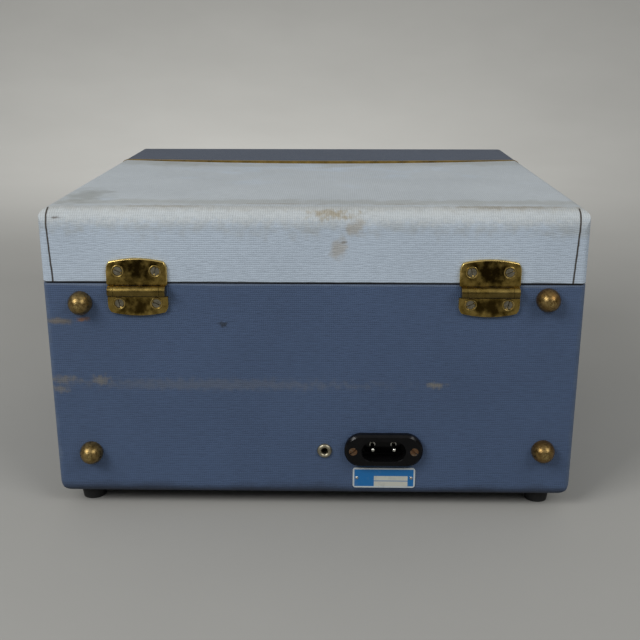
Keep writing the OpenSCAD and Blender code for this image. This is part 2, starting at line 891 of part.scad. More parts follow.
// Eyelet of the jack socket: a plain barrel with a rolled rim, half an ellipse from its edge to its bore
module jack_eyelet() {
    steps = 12;
    bore_r = jack_bore_d / 2;
    half = (jack_d / 2 - bore_r) / 2;
    deep = wall + jack_inside;
    rim = [for (i = [0 : steps])
        [bore_r + half + half * cos(180 * i / steps), jack_rim_t * sin(180 * i / steps)]];
    rotate_extrude() polygon(concat(
        [[bore_r, -deep], [jack_barrel_d / 2, -deep], [jack_barrel_d / 2, 0]], rim
    ));
}
module jack_socket() color(nickel) on_back(jack_x, jack_z) {
    jack_eyelet();
    difference() {
        translate([0, 0, -wall - jack_nut_t]) cylinder(h = jack_nut_t, r = jack_nut_d / 2, $fn = 6);
        translate([0, 0, -wall - jack_nut_t - past])
            cylinder(h = jack_nut_t + 2 * past, r = jack_barrel_d / 2 + seat_gap);
    }
}

module lid_top() color(pale_blue) difference() {
    intersection() {
        lid_outer();
        lid_zone(-half_w + lid_wall + lid_seam, half_w - lid_wall - lid_seam, split_y, y_back);
    }
    lid_hollow(0, z_lid - past);
    for (s = [-1, 1], t = [-1, 1]) on_back(s * hinge_pitch / 2 + t * leaf_screw_pitch / 2, lid_screw_z)
        translate([0, 0, leaf_t]) screw_hole(lid_screw_len);
}
module lid_sides() color(pale_blue) both_sides() intersection() {
    lid_outer();
    lid_zone(half_w - lid_wall, half_w, split_y, y_back);
}

// The bead runs up one side, over the top and down the other side
module bead_hoop() along_y(split_y - bead_w, split_y) difference() {
    round_box([-half_w, z_lid], [half_w, z_top + bead_proud], [0, 0, lid_side_r, lid_side_r]);
    round_box([-half_w + bead_t, z_lid - past], [half_w - bead_t, z_top - bead_t],
        [0, 0, 1, 1] * (lid_side_r - bead_t));
}
module lid_front() color(dark_slate) difference() {
    intersection() {
        lid_outer();
        lid_zone(-half_w, half_w, y_front, split_y);
    }
    lid_hollow(0, z_lid - past);
    bead_hoop();
}
module gilt_bead() color(gilt) bead_hoop();

module lid_lining() color(ivory) difference() {
    lid_hollow(run_gap, z_lid + seal_w);
    lid_hollow(lining_t, z_lid - past);
}

// Plan of the case, drawn in by a distance
module plan_inset(d) round_box([-half_w + d, y_front + d], [half_w - d, y_back - d],
    [for (r = plan_r) max(r - d, inner_r)]);
module lid_seal() color(rubber) along_z(z_rim + run_gap, z_lid) difference() {
    plan_inset(seal_inset);
    plan_inset(seal_inset + seal_w);
}

// Pivot lug of the handle: a plate on the front panel and a rounded ear that holds the pin
module handle_brackets() color(brass) both_sides() {
    x1 = handle_span / 2;
    x0 = x1 - lug_t;
    translate([0, 0, pivot_z]) along_y(y_front - lug_plate_t, y_front)
        round_box([x0, -lug_plate_h / 2], [x0 + lug_plate_w, lug_plate_h / 2],
            lug_plate_r * [0, 1, 1, 0]);
    along_x(x0, x1) {
        translate([pivot_y, pivot_z]) circle(lug_r);
        translate([pivot_y, pivot_z - lug_r]) square([handle_off - lug_plate_t / 2, 2 * lug_r]);
    }
    translate([x0 - handle_pin_len, pivot_y, pivot_z]) rotate([0, 90, 0])
        cylinder(h = handle_pin_len + lug_t / 2, r = handle_pin_d / 2);
}

// The handle's front outline crossed with its side outline
module carry_handle() color(bakelite) difference() {
    neck = lug_r - 1;
    intersection() {
        translate([0, 0, pivot_z]) along_y(pivot_y - handle_t, pivot_y + handle_t) difference() {
            round_box([-handle_half, -handle_len], [handle_half, lug_r],
                [handle_corner_r, handle_corner_r, handle_top_r, handle_top_r]);
            round_box([-handle_half + arm_w, -handle_len + grip_h], [handle_half - arm_w, lug_r + past],
                handle_inner_r * [1, 1, 0, 0]);
        }
        translate([0, pivot_y, pivot_z]) along_x(-handle_half, handle_half) {
            circle(lug_r);
            polygon([[neck, 0], [0, neck], [-neck, 0], [-handle_t / 2, -handle_len + grip_h],
                [-handle_t / 2, -handle_len + grip_edge_r], [handle_t / 2, -handle_len + grip_edge_r],
                [handle_t / 2, -handle_len + grip_h]]);
            round_box([-handle_t / 2, -handle_len], [handle_t / 2, -handle_len + grip_h - past],
                [grip_edge_r, grip_edge_r, 0, 0]);
        }
    }
    both_sides() translate([handle_half - handle_pin_len, pivot_y, pivot_z]) rotate([0, 90, 0])
        cylinder(h = handle_pin_len + past, r = handle_pin_d / 2 + run_gap);
}

module lock_case() difference() {
    along_y(y_front - lock_t, y_front)
        round_box([-lock_w / 2, lock_top - lock_h], [lock_w / 2, lock_top], lock_r * [1, 1, 1, 1]);
    box([-lock_w / 2 + lock_wall, y_front - lock_t + lock_wall, lock_top - lock_h + lock_wall],
        [lock_w / 2 - lock_wall, y_front + past, lock_top - lock_wall]);
    box([tongue_left - past, tongue_y0 - 2 * free_gap, lock_top - lock_wall - past],
        [tongue_right + past, y_front + past, lock_top + past]);
    slot_half = stem_h / 2 + free_gap;
    box([stem_x - stem_w / 2 - bolt_throw - free_gap, y_front - lock_t - past, bolt_z - slot_half],
        [stem_x + stem_w / 2 + free_gap, y_front, bolt_z + slot_half]);
}
// Bolt inside the lock, its stem through the front slot and the ridged button outside
module lock_bolt() {
    x0 = tongue_right + bolt_gap;
    button_y = y_front - lock_t - free_gap;
    box([x0, tongue_y0, bolt_z - bolt_h / 2], [x0 + bolt_len, tongue_y1, bolt_z + bolt_h / 2]);
    box([stem_x - stem_w / 2, button_y, bolt_z - stem_h / 2],
        [stem_x + stem_w / 2, tongue_y1, bolt_z + stem_h / 2]);
    difference() {
        translate([stem_x, 0, bolt_z]) along_y(button_y - button_t, button_y)
            round_box(-[button_w, button_h] / 2, [button_w, button_h] / 2, button_r * [1, 1, 1, 1]);
        for (i = [-1 : 1]) translate([stem_x + button_groove_pitch * i, button_y - button_t, bolt_z])
            cylinder(h = button_h + past, r = button_groove_r, center = true);
    }
}
module lock_strike() difference() {
    union() {
        translate([0, 0, z_lid + strike_up]) along_y(tongue_y0, y_front)
            round_box([-strike_w / 2, 0], [strike_w / 2, strike_h],
                [strike_low_r, strike_low_r, strike_top_r, strike_top_r]);
        box([tongue_left, tongue_y0, z_rim - tongue_len],
            [tongue_right, tongue_y1, z_lid + strike_up + past]);
    }
    box([tongue_right - notch_deep, tongue_y0 - past, bolt_z - bolt_h / 2 - free_gap],
        [tongue_right + past, tongue_y1 + past, bolt_z + bolt_h / 2 + free_gap]);
}
module lock_cases() color(brass) both_sides() translate([lock_x, 0, 0]) lock_case();
module lock_strikes() color(brass) both_sides() translate([lock_x, 0, 0]) lock_strike();
module lock_bolt_left() color(brass) mirror([1, 0, 0]) translate([lock_x, 0, 0]) lock_bolt();
module lock_bolt_right() color(brass) translate([lock_x, 0, 0]) lock_bolt();

// Pressed frame with half-round louvre bars
module speaker_grille() color(gilt) translate([0, 0, grille_z]) {
    inner = [grille_w / 2 - grille_rim, grille_h / 2 - grille_rim];
    pitch = 2 * inner[1] / louvres;
    along_y(y_front - grille_t, y_front) difference() {
        round_box(-[grille_w, grille_h] / 2, [grille_w, grille_h] / 2, grille_r * [1, 1, 1, 1]);
        round_box(-inner, inner, grille_hole_r * [1, 1, 1, 1]);
    }
    intersection() {
        for (i = [0 : louvres - 1]) translate([-inner[0] - past, y_front, -inner[1] + (i + 0.5) * pitch])
            rotate([0, 90, 0]) cylinder(h = 2 * inner[0] + 2 * past, r = louvre_d / 2);
        box([-half_w, y_front - grille_t, -grille_h], [half_w, y_front, grille_h]);
    }
}

// Slot-shaped body that narrows from its flange to a round back, behind the front panel
module speaker_taper(l, d, r, y0, y1) hull() {
    along_y(y0, y0 + taper_lip) slot(l, d, $fn = 32);
    along_y(y1 - taper_lip, y1) circle(r, $fn = 32);
}
module speaker_frame() color(iron) translate([0, 0, grille_z]) {
    y0 = in_front + speaker_plate_t;
    y1 = in_front + speaker_d - magnet_h;
    hole_l = speaker_w - 2 * baffle_lap;
    hole_d = speaker_h - 2 * baffle_lap;
    difference() {
        union() {
            along_y(in_front, y0) slot(speaker_w, speaker_h);
            speaker_taper(hole_l + 2 * basket_t, hole_d + 2 * basket_t, magnet_d / 2,
                in_front + speaker_plate_t / 2, y1);
        }
        speaker_taper(hole_l, hole_d, coil_d / 2 + coil_gap, in_front - past, y1 - basket_t);
    }
    translate([0, y1, 0]) rotate([-90, 0, 0]) cylinder(h = magnet_h, r = magnet_d / 2);
}
module speaker_cone() color(iron) translate([0, 0, grille_z]) {
    y1 = in_front + speaker_d - magnet_h - basket_t - cone_lift;
    l = speaker_w - 2 * baffle_lap - 2 * cone_inset;
    d = speaker_h - 2 * baffle_lap - 2 * cone_inset;
    r = coil_d / 2;
    difference() {
        speaker_taper(l, d, r, in_front, y1);
        speaker_taper(l - 2 * cone_t, d - 2 * cone_t, r - 2 * cone_t, in_front - past, y1 - cone_t);
    }
}

module deck_plate() color(ivory) difference() {
    along_z(deck_low, deck_z)
        round_box([-in_x + deck_gap, in_front + deck_gap], [in_x - deck_gap, in_back - deck_gap],
            deck_r * [1, 1, 1, 1]);
    translate([0, 0, deck_low - past]) linear_extrude(deck_t + 2 * past) {
        for (p = [supply, takeup, capstan]) translate(p) circle(sleeve_r + seat_gap);
        for (s = [-1, 1]) translate([s * knob_x, knob_y]) circle(pot_bush_r + seat_gap);
        translate(eye_pos) circle(eye_d / 2 + free_gap);
        translate([-key_row / 2 - past, key_front - key_window_gap])
            square([key_row + 2 * past, key_len + key_window_gap + key_window_back]);
    }
}

// Moulded cover over the heads, open at the bottom and towards the tape
module head_cover() color(dark_slate) difference() {
    cover_shell(0, 0);
    cover_shell(cover_wall, past);
}
module cover_shell(inset, open) intersection() {
    back = cover_y + cover_d + open;
    along_y(cover_y + inset, back)
        round_box([cover_left + inset, deck_z - open], [cover_right - inset, deck_z + cover_h - inset],
            [0, 0, cover_side_r - inset, cover_side_r - inset]);
    along_x(cover_left, cover_right)
        round_box([cover_y + inset, deck_z - open], [back, deck_z + cover_h - inset],
            [0, 0, 0, cover_front_r - inset]);
}

// Two heads with round noses against the tape, each on a small foot
module tape_heads() color(nickel) for (h = heads) {
    nose = tape_y - tape_t / 2 - free_gap;
    back = nose - head_depth;
    along_z(deck_z, tape_z + tape_w + head_rise) intersection() {
        translate([h[0] - h[1] / 2, back]) square([h[1], head_depth]);
        union() {
            translate([h[0], nose - head_nose_r]) circle(head_nose_r);
            translate([h[0] - h[1] / 2, back]) square([h[1], head_depth - head_nose]);
        }
    }
    translate([h[0], -head_foot_back]) along_z(deck_z, deck_z + head_foot_t)
        round_box([-head_foot_w / 2, back], [head_foot_w / 2, nose], head_foot_r * [1, 1, 1, 1]);
}

// Flanged guide posts beside the heads, and the pivot post of the pinch arm
module tape_guides() color(nickel) {
    low = tape_z - tape_side - deck_z;
    high = tape_z + tape_w + tape_side - deck_z;
    lip_r = guide_r + guide_lip;
    for (s = [-1, 1]) translate([s * guide_x, guide_y, deck_z]) rotate_extrude() polygon([
        [0, 0], [lip_r, 0], [lip_r, low - guide_slope], [guide_r, low], [guide_r, high],
        [lip_r, high + guide_slope], [lip_r, high + guide_lip_t], [0, high + guide_lip_t]
    ]);
    post_r = pinch_pin_d / 2;
    post_top = arm_lift + 2 * arm_t + pinch_post_rise;
    seat = arm_lift - free_gap;
    translate([pinch_pivot[0], pinch_pivot[1], deck_z]) rotate_extrude() polygon([
        [0, 0], [post_r + pinch_shoulder, 0], [post_r + pinch_shoulder, seat], [post_r, seat],
        [post_r, post_top], [0, post_top]
    ]);
}

// Direction from both circles to the straight line that touches them on one side
function touch_dir(a, ra, b, rb, side) =
    let (d = b - a, l = norm(d), u = d / l, c = (ra - rb) / l, s = side * sqrt(1 - c * c))
    [c * u[0] - s * u[1], c * u[1] + s * u[0]];
// Thin band between two points
module band(p, q) {
    d = q - p;
    translate(p) rotate(atan2(d[1], d[0])) translate([0, -tape_t / 2]) square([norm(d), tape_t]);
}
// Stretch from a tape pack to the far side of a guide post
module tape_half(reel, pack_d, side) {
    guide = [side * guide_x, guide_y];
    r_pack = pack_d / 2 + free_gap + tape_t / 2;
    r_guide = guide_r + free_gap + tape_t / 2;
    n = touch_dir(reel, r_pack, guide, r_guide, side);
    along = [-side * n[1], side * n[0]];
    band(reel + r_pack * n, guide + r_guide * n - tape_t * along);
    translate(guide) intersection() {
        difference() {
            circle(r_guide + tape_t / 2);
            circle(r_guide - tape_t / 2);
        }
        polygon([[0, 0], 4 * r_guide * n, 4 * r_guide * (n + [0, -1]), [0, -4 * r_guide]]);
    }
}
module tape_run() color(tape_brown) along_z(tape_z, tape_z + tape_w) {
    tape_half(supply, supply_pack_d, -1);
    tape_half(takeup, takeup_pack_d, 1);
    band([-guide_x - tape_t, tape_y], [guide_x + tape_t, tape_y]);
}

// Flanged sleeves in the deck, and the strap under the flywheel that takes the capstan's thrust
module sleeve(p, bore) {
    flange_top = seat_rise - turntable_t - free_gap;
    translate([p[0], p[1], deck_z]) difference() {
        union() {
            cylinder(h = flange_top, r = sleeve_flange_r);
            translate([0, 0, -sleeve_len]) cylinder(h = sleeve_len, r = sleeve_r);
        }
        translate([0, 0, -sleeve_len - past])
            cylinder(h = sleeve_len + flange_top + 2 * past, r = bore / 2 + run_gap);
    }
}
module bearing_sleeves() color(brass) {
    sleeve(supply, shaft_d);
    sleeve(takeup, shaft_d);
    sleeve(capstan, capstan_d);
    translate([capstan[0], capstan[1], deck_z]) {
        translate([0, 0, strap_top - strap_t])
            linear_extrude(strap_t) slot(2 * strap_reach + strap_w, strap_w);
        for (s = [-1, 1]) translate([s * strap_reach, 0, strap_top - strap_t / 2])
            cylinder(h = -deck_t - strap_top + strap_t / 2, r = pillar_r);
    }
}

// Flange of a reel: three windows between straight spokes
module reel_flange() linear_extrude(flange_t) difference() {
    apex = reel_spoke_w / 2 / sin(60);
    circle(reel_d / 2);
    for (i = [0 : 2]) rotate(120 * i) intersection() {
        difference() {
            circle(reel_d / 2 - reel_rim_w);
            circle(hub_d / 2 + reel_hub_lip);
        }
        translate([apex, 0]) polygon(reel_d * [[0, 0], [cos(60), -sin(60)], [cos(60), sin(60)]]);
    }
}
// Two flanges on a hub, with a keyed bore right through
module reel(p) translate([p[0], p[1], seat_z]) difference() {
    h = reel_top - seat_z;
    union() {
        reel_flange();
        translate([0, 0, h - flange_t]) reel_flange();
        cylinder(h = h, r = hub_d / 2);
    }
    translate([0, 0, -past]) linear_extrude(h + 2 * past) {
        circle(spindle_d / 2 + run_gap);
        for (i = [0 : 2]) rotate(120 * i) translate([0, -key_slot_w / 2 - run_gap])
            square([spindle_d / 2 + key_slot_h + run_gap, key_slot_w + 2 * run_gap]);
    }
}
module supply_reel() color(ivory) reel(supply);
module takeup_reel() color(ivory) reel(takeup);

module tape_pack(p, d) translate([p[0], p[1], tape_z]) difference() {
    cylinder(h = tape_w, r = d / 2);
    translate([0, 0, -past]) cylinder(h = tape_w + 2 * past, r = hub_d / 2 + seat_gap);
}
module supply_pack() color(tape_brown) tape_pack(supply, supply_pack_d);
module takeup_pack() color(tape_brown) tape_pack(takeup, takeup_pack_d);

// Turntable with its splined spindle above the deck and its belt pulley below
module turntable(p) translate([p[0], p[1], deck_z]) {
    top = reel_top - deck_z + spindle_rise;
    low = pulley_mid - pulley_h / 2;
    high = pulley_mid + pulley_h / 2;
    r = spindle_d / 2;
    rotate_extrude() polygon([
        [0, low], [pulley_r + pulley_lip, low], [pulley_r, low + pulley_slope],
        [pulley_r, high - pulley_slope], [pulley_r + pulley_lip, high],
        [shaft_d / 2, high], [shaft_d / 2, seat_rise - turntable_t],
        [turntable_d / 2, seat_rise - turntable_t], [turntable_d / 2, seat_rise], [r, seat_rise],
        [r, top - spindle_edge], [r - spindle_edge, top], [0, top]
    ]);
    for (i = [0 : 2]) rotate(120 * i) translate([0, -key_slot_w / 2, seat_rise])
        cube([r + key_slot_h, key_slot_w, top - spline_drop - seat_rise]);
}
module supply_turntable() color(steel) turntable(supply);
module takeup_turntable() color(steel) turntable(takeup);

module capstan_shaft() color(steel) translate([capstan[0], capstan[1], deck_z + capstan_low])
    cylinder(h = capstan_top - capstan_low, r = capstan_r);
// Flywheel pressed on the capstan shaft, with a heavy rim, a thin web and the take-up pulley below
module capstan_flywheel() color(steel) translate([capstan[0], capstan[1], deck_z]) {
    bore = capstan_r + seat_gap;
    r = flywheel_d / 2;
    rim = r - fly_rim_t;
    rim_low = fly_mid - fly_rim_h / 2;
    rim_high = fly_mid + fly_rim_h / 2;
    web_low = fly_mid - fly_web_h / 2;
    web_high = fly_mid + fly_web_h / 2;
    low = pulley_mid - pulley_h / 2;
    high = pulley_mid + pulley_h / 2;
    rotate_extrude() polygon([
        [bore, low], [small_pulley_r + pulley_lip, low], [small_pulley_r, low + pulley_slope],
        [small_pulley_r, high - pulley_slope], [small_pulley_r + pulley_lip, high],
        [fly_hub_r, high], [fly_hub_r, web_low], [rim, web_low], [rim, rim_low], [r, rim_low],
        [r, rim_high], [rim, rim_high], [rim, web_high], [fly_hub_r, web_high],
        [fly_hub_r, fly_top], [bore, fly_top]
    ]);
}

// Arm with a bored boss on the pivot post, and a collared pin under the roller
module pinch_arm() color(steel) difference() {
    collar_top = roller_low - free_gap - arm_z;
    pin_top = roller_low + roller_h + roller_pin_rise - arm_z;
    pin_r = roller_pin_d / 2;
    union() {
        translate([pinch_pivot[0], pinch_pivot[1], arm_z]) {
            cylinder(h = 2 * arm_t, r = arm_boss_r);
            rotate(pinch_angle) translate([pinch_len / 2, 0, 0])
                linear_extrude(arm_t) slot(pinch_len + pinch_arm_w, pinch_arm_w);
        }
        translate([roller_rest[0], roller_rest[1], arm_z]) rotate_extrude() polygon([
            [0, 0], [pin_r + roller_collar, 0], [pin_r + roller_collar, collar_top], [pin_r, collar_top],
            [pin_r, pin_top], [0, pin_top]
        ]);
    }
    translate([pinch_pivot[0], pinch_pivot[1], arm_z - past])
        cylinder(h = 2 * arm_t + 2 * past, r = pinch_pin_d / 2 + run_gap);
}
module pinch_roller() color(rubber) translate([roller_rest[0], roller_rest[1], roller_low]) difference() {
    cylinder(h = roller_h, r = roller_r);
    translate([0, 0, -past]) cylinder(h = roller_h + 2 * past, r = roller_pin_d / 2 + run_gap);
}

// Flat belt round two pulleys
module belt(p, rp, q, rq, z) translate([0, 0, deck_z + z - belt_w / 2]) linear_extrude(belt_w) difference() {
    belt_outline(p, rp + free_gap + belt_t, q, rq + free_gap + belt_t);
    belt_outline(p, rp + free_gap, q, rq + free_gap);
}
module belt_outline(p, rp, q, rq) hull() {
    translate(p) circle(rp);
    translate(q) circle(rq);
}
module drive_belts() color(rubber) {
    belt(motor, motor_pulley_d / 2, capstan, flywheel_d / 2, fly_mid);
    belt(takeup, pulley_r, capstan, small_pulley_r, pulley_mid);
}

module motor_body() color(iron) translate([motor[0], motor[1], deck_z]) difference() {
    bell_r = motor_bell_d / 2;
    pillar_at = motor_w / 2 - motor_pillar_in;
    union() {
        translate([0, 0, motor_core_low]) linear_extrude(motor_core_h)
            round_box(-[motor_w, motor_w] / 2, [motor_w, motor_w] / 2, motor_core_r * [1, 1, 1, 1]);
        translate([0, 0, motor_core_top - past])
            cylinder(h = motor_bell_h + past, r1 = bell_r, r2 = bell_r - motor_bell_slope);
        translate([0, 0, motor_low])
            cylinder(h = motor_core_low - motor_low + past, r1 = bell_r - motor_bell_slope, r2 = bell_r);
        for (s = [-1, 1], t = [-1, 1]) translate([s * pillar_at, t * pillar_at, motor_core_top - past])
            cylinder(h = -deck_t - motor_core_top + past, r = pillar_r);
    }
    translate([0, 0, motor_low - past])
        cylinder(h = motor_top - motor_low + 2 * past, r = motor_shaft_d / 2 + run_gap);
}
// Rotor shaft with the flanged belt pulley on top and the cooling fan below
module motor_rotor() color(steel) translate([motor[0], motor[1], deck_z]) {
    r = motor_shaft_d / 2;
    pr = motor_pulley_d / 2;
    lip_r = pr + rotor_lip;
    top = fly_mid + belt_w / 2 + belt_side;
    low = fly_mid - belt_w / 2 - belt_side;
    fan_low = fan_top - fan_h;
    rotate_extrude() polygon([
        [0, fan_low], [fan_hub_r, fan_low], [fan_hub_r, fan_top - fan_t], [fan_d / 2, fan_top - fan_t],
        [fan_d / 2, fan_top], [r, fan_top], [r, low - rotor_lip_t], [lip_r, low - rotor_lip_t], [lip_r, low],
        [pr, low], [pr, top], [lip_r, top], [lip_r, top + rotor_lip_t], [0, top + rotor_lip_t]
    ]);
    for (i = [0 : fan_blades - 1]) rotate(360 * i / fan_blades)
        translate([fan_hub_r - past, -fan_t / 2, fan_low])
            cube([fan_d / 2 - fan_hub_r, fan_t, fan_h - fan_t / 2]);
}

// Side outline of a key about its shaft: dished top, front skirt, rear web and hub
module key_outline() difference() {
    top = key_axis_drop + key_rise;
    front = -key_len - key_back;
    union() {
        round_box([front, top - key_top_t], [-key_wall, top], [0, 0, key_small_r, key_edge_r]);
        round_box([front, top - key_skirt_h], [front + key_wall, top],
            [key_small_r, key_small_r, 0, key_edge_r]);
        round_box([-key_wall - key_web_t, -key_web_low], [-key_wall, top], [key_small_r, 0, key_small_r, 0]);
        circle(key_hub_r);
    }
    translate([front + key_len / 2, top + key_dish_r - key_dish]) circle(key_dish_r, $fn = 360);
    circle(key_shaft_d / 2 + run_gap);
}
module key(i) {
    x0 = -key_row / 2 + i * (key_w + key_gap);
    translate([0, key_axis_y, key_axis_z]) along_x(x0, x0 + key_w) key_outline();
}
module key_record() color(red) key(0);
module key_rewind() color(ivory) key(1);
module key_stop() color(ivory) key(2);
module key_play() color(ivory) key(3);
module key_forward() color(ivory) key(4);

// Frame under the deck with the keys' shaft, and the potentiometers under the knobs
module control_frame() color(steel) {
    cheek = key_row / 2 + 2 * past;
    lap = cheek_t / 2;
    translate([0, key_axis_y, key_axis_z]) {
        both_sides() along_x(cheek, cheek + cheek_t)
            round_box([-cheek_front, -cheek_low], [cheek_back, key_axis_drop - deck_t],
                cheek_r * [1, 1, 0, 0]);
        box([-cheek - lap, lap - cheek_front, -cheek_low],
            [cheek + lap, cheek_back - lap, cheek_t - cheek_low]);
        translate([-cheek - lap, 0, 0]) rotate([0, 90, 0])
            cylinder(h = 2 * cheek + 2 * lap, r = key_shaft_d / 2);
    }
    for (s = [-1, 1]) translate([s * knob_x, knob_y, deck_low]) {
        translate([0, 0, -pot_h]) cylinder(h = pot_h, r = pot_r);
        translate([0, 0, -past]) cylinder(h = deck_t + past + pot_bush_rise, r = pot_bush_r);
        cylinder(h = deck_t + knob_h - knob_top_t, r = pot_shaft_d / 2);
    }
}

// Fluted knob with a skirt, a shallow dish on top and a blind bore
module knob(x) {
    r = knob_d / 2;
    grip_r = r - knob_grip_in;
    dish_z = knob_h - knob_dish;
    translate([x, knob_y, deck_z + knob_lift]) difference() {
        rotate_extrude() polygon([
            [0, 0], [r, 0], [r, knob_skirt_t], [grip_r, knob_skirt_t + knob_slope_h],
            [grip_r, knob_h - knob_edge], [grip_r - knob_edge, knob_h], [knob_dish_r, knob_h],
            [knob_dish_r - knob_dish, dish_z], [0, dish_z]
        ]);
        for (i = [0 : flutes - 1]) rotate(360 * i / flutes) translate([grip_r + flute_out, 0, flute_low])
            cylinder(h = knob_h, r = flute_r, $fn = 24);
        translate([0, 0, -past])
            cylinder(h = knob_h - knob_top_t + past, r = pot_shaft_d / 2 + run_gap);
    }
}
module volume_knob() color(ivory) knob(knob_x);
module tone_knob() color(ivory) knob(-knob_x);

// Glass bulb with a round shoulder, from its foot to its top
module bulb(d, h, shoulder) {
    r = d / 2;
    steps = 8;
    arc = [for (i = [0 : steps]) [r * cos(90 * i / steps), h - shoulder + shoulder * sin(90 * i / steps)]];
    rotate_extrude() polygon(concat([[0, 0], [r - bulb_foot, 0], [r, bulb_foot]], arc));
}
module tuning_eye() color(eye_green) translate([eye_pos[0], eye_pos[1], deck_z + eye_rise - eye_len])
    bulb(eye_d, eye_len, eye_rise);

// Sheet-metal tray, open below, on the case floor
module amp_chassis() color(steel) difference() {
    box([-amp_w / 2, amp_back - amp_d, z_floor], [amp_w / 2, amp_back, amp_top]);
    box([-amp_w / 2 + amp_sheet, amp_back - amp_d + amp_sheet, z_floor - past],
        [amp_w / 2 - amp_sheet, amp_back - amp_sheet, amp_top - amp_sheet]);
}
// Laminated core with a round-edged coil through it, both given as width, depth and height
module transformer(x, core, coil) translate([x, amp_mid, amp_top]) {
    translate([-core[0] / 2, -core[1] / 2, 0]) cube(core);
    translate([0, 0, (core[2] - coil[2]) / 2]) linear_extrude(coil[2])
        round_box(-[coil[0], coil[1]] / 2, [coil[0], coil[1]] / 2, coil_r * [1, 1, 1, 1]);
}
module power_supply() color(iron) {
    transformer(mains_x, mains_core, mains_coil);
    transformer(output_x, output_core, output_coil);
    r = can_d / 2;
    translate([can_x, amp_mid, amp_top]) rotate_extrude() polygon([
        [0, 0], [r, 0], [r, can_groove_z - can_groove], [r - can_groove, can_groove_z],
        [r, can_groove_z + can_groove], [r, can_h - can_edge], [r - can_edge, can_h], [0, can_h]
    ]);
}
module valves() color(glass) for (x = valve_xs) translate([x, amp_mid, amp_top])
    bulb(valve_d, valve_h, valve_d / 2);

case_wrap();
case_back();
case_front();
deck_battens();
rubber_feet();
back_studs();
hinge_body_leaves();
hinge_lid_leaves();
hinge_pins();
case_screws();
lid_screws();
mains_inlet();
inlet_pins();
jack_socket();
lid_top();
lid_sides();
lid_front();
gilt_bead();
lid_lining();
lid_seal();
handle_brackets();
carry_handle();
lock_cases();
lock_strikes();
lock_bolt_left();
lock_bolt_right();
speaker_grille();
speaker_frame();
speaker_cone();
deck_plate();
head_cover();
tape_heads();
tape_guides();
tape_run();
bearing_sleeves();
supply_reel();
supply_pack();
supply_turntable();
takeup_reel();
takeup_pack();
takeup_turntable();
capstan_shaft();
capstan_flywheel();
pinch_arm();
pinch_roller();
drive_belts();
motor_body();
motor_rotor();
key_record();
key_rewind();
key_stop();
key_play();
key_forward();
control_frame();
volume_knob();
tone_knob();
tuning_eye();
amp_chassis();
power_supply();
valves();
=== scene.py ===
import math

import bmesh
import bpy
from mathutils import Matrix, Vector


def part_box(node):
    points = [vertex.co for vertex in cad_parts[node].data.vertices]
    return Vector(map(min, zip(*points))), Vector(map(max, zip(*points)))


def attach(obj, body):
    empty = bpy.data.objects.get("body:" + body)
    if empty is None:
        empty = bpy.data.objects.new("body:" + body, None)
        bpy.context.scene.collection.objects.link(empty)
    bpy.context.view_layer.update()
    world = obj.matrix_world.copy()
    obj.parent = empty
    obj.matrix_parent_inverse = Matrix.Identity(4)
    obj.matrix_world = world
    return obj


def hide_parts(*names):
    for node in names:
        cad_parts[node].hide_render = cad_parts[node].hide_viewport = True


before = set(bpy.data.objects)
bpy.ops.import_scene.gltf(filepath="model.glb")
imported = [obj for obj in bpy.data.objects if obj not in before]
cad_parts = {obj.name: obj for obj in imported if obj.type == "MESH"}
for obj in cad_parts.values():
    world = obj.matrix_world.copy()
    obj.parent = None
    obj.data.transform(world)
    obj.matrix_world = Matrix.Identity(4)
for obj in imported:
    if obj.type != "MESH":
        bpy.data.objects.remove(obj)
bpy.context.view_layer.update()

bl_info = {
    "name": "Tape recorder dressing",
    "version": (1, 0, 0),
    "blender": (4, 5, 0),
    "location": "3D View > Sidebar > Recorder",
    "description": "Coverings, finishes, small trim and stage of a portable reel-to-reel tape recorder",
    "category": "Object",
}

MM = 0.001
# Vertices of a CAD mesh that lie closer than this are one
WELD = 0.002 * MM

# Planes and places of the case, taken from the frame
BACK_LOW, BACK_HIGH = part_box("case_back")
LID_LOW, LID_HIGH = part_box("lid_top")
HALF_W = BACK_HIGH.x
Y_BACK = BACK_HIGH.y
Y_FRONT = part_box("case_front")[0].y
Y_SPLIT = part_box("lid_front")[1].y
Z_UNDER = BACK_LOW.z
Z_RIM = BACK_HIGH.z
Z_TOP = LID_HIGH.z
DECK_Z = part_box("deck_plate")[1].z
# Reach of the hinges' barrels above and below their axis
BARREL_R = 4.5 * MM
# The same planes in millimetres, for the marks of use, and the reach of a mark that runs right across a face
SIDE_MM, BACK_MM, FRONT_MM, SPLIT_MM = [plane / MM for plane in (HALF_W, Y_BACK, Y_FRONT, Y_SPLIT)]
UNDER_MM, RIM_MM, LIP_MM, TOP_MM = [plane / MM for plane in (Z_UNDER, Z_RIM, LID_LOW.z, Z_TOP)]
ENDLESS = 9000
# Share of the ribs in a weave, on upright faces and on the top
EVEN_WEAVE = (0.5, 0.5)
RIBBED_UPRIGHT = (0.75, 0.3)


def linear(colour):
    """Linear RGBA of an sRGB hex colour."""
    parts = [int(colour[i : i + 2], 16) / 255 for i in (1, 3, 5)]
    return [c / 12.92 if c <= 0.04045 else ((c + 0.055) / 1.055) ** 2.4 for c in parts] + [1.0]


def middle(node):
    """Centre of a CAD node's box."""
    low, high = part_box(node)
    return (low + high) / 2


# Sizes and colours that a user may change


def length_row(name, description, millimetres):
    """A length that a user may change."""
    return bpy.props.FloatProperty(
        name=name, description=description, default=millimetres * MM, unit="LENGTH")


def colour_row(name, description, colour):
    """A colour that a user may change."""
    return bpy.props.FloatVectorProperty(
        name=name, description=description, default=linear(colour), subtype="COLOR", size=4)


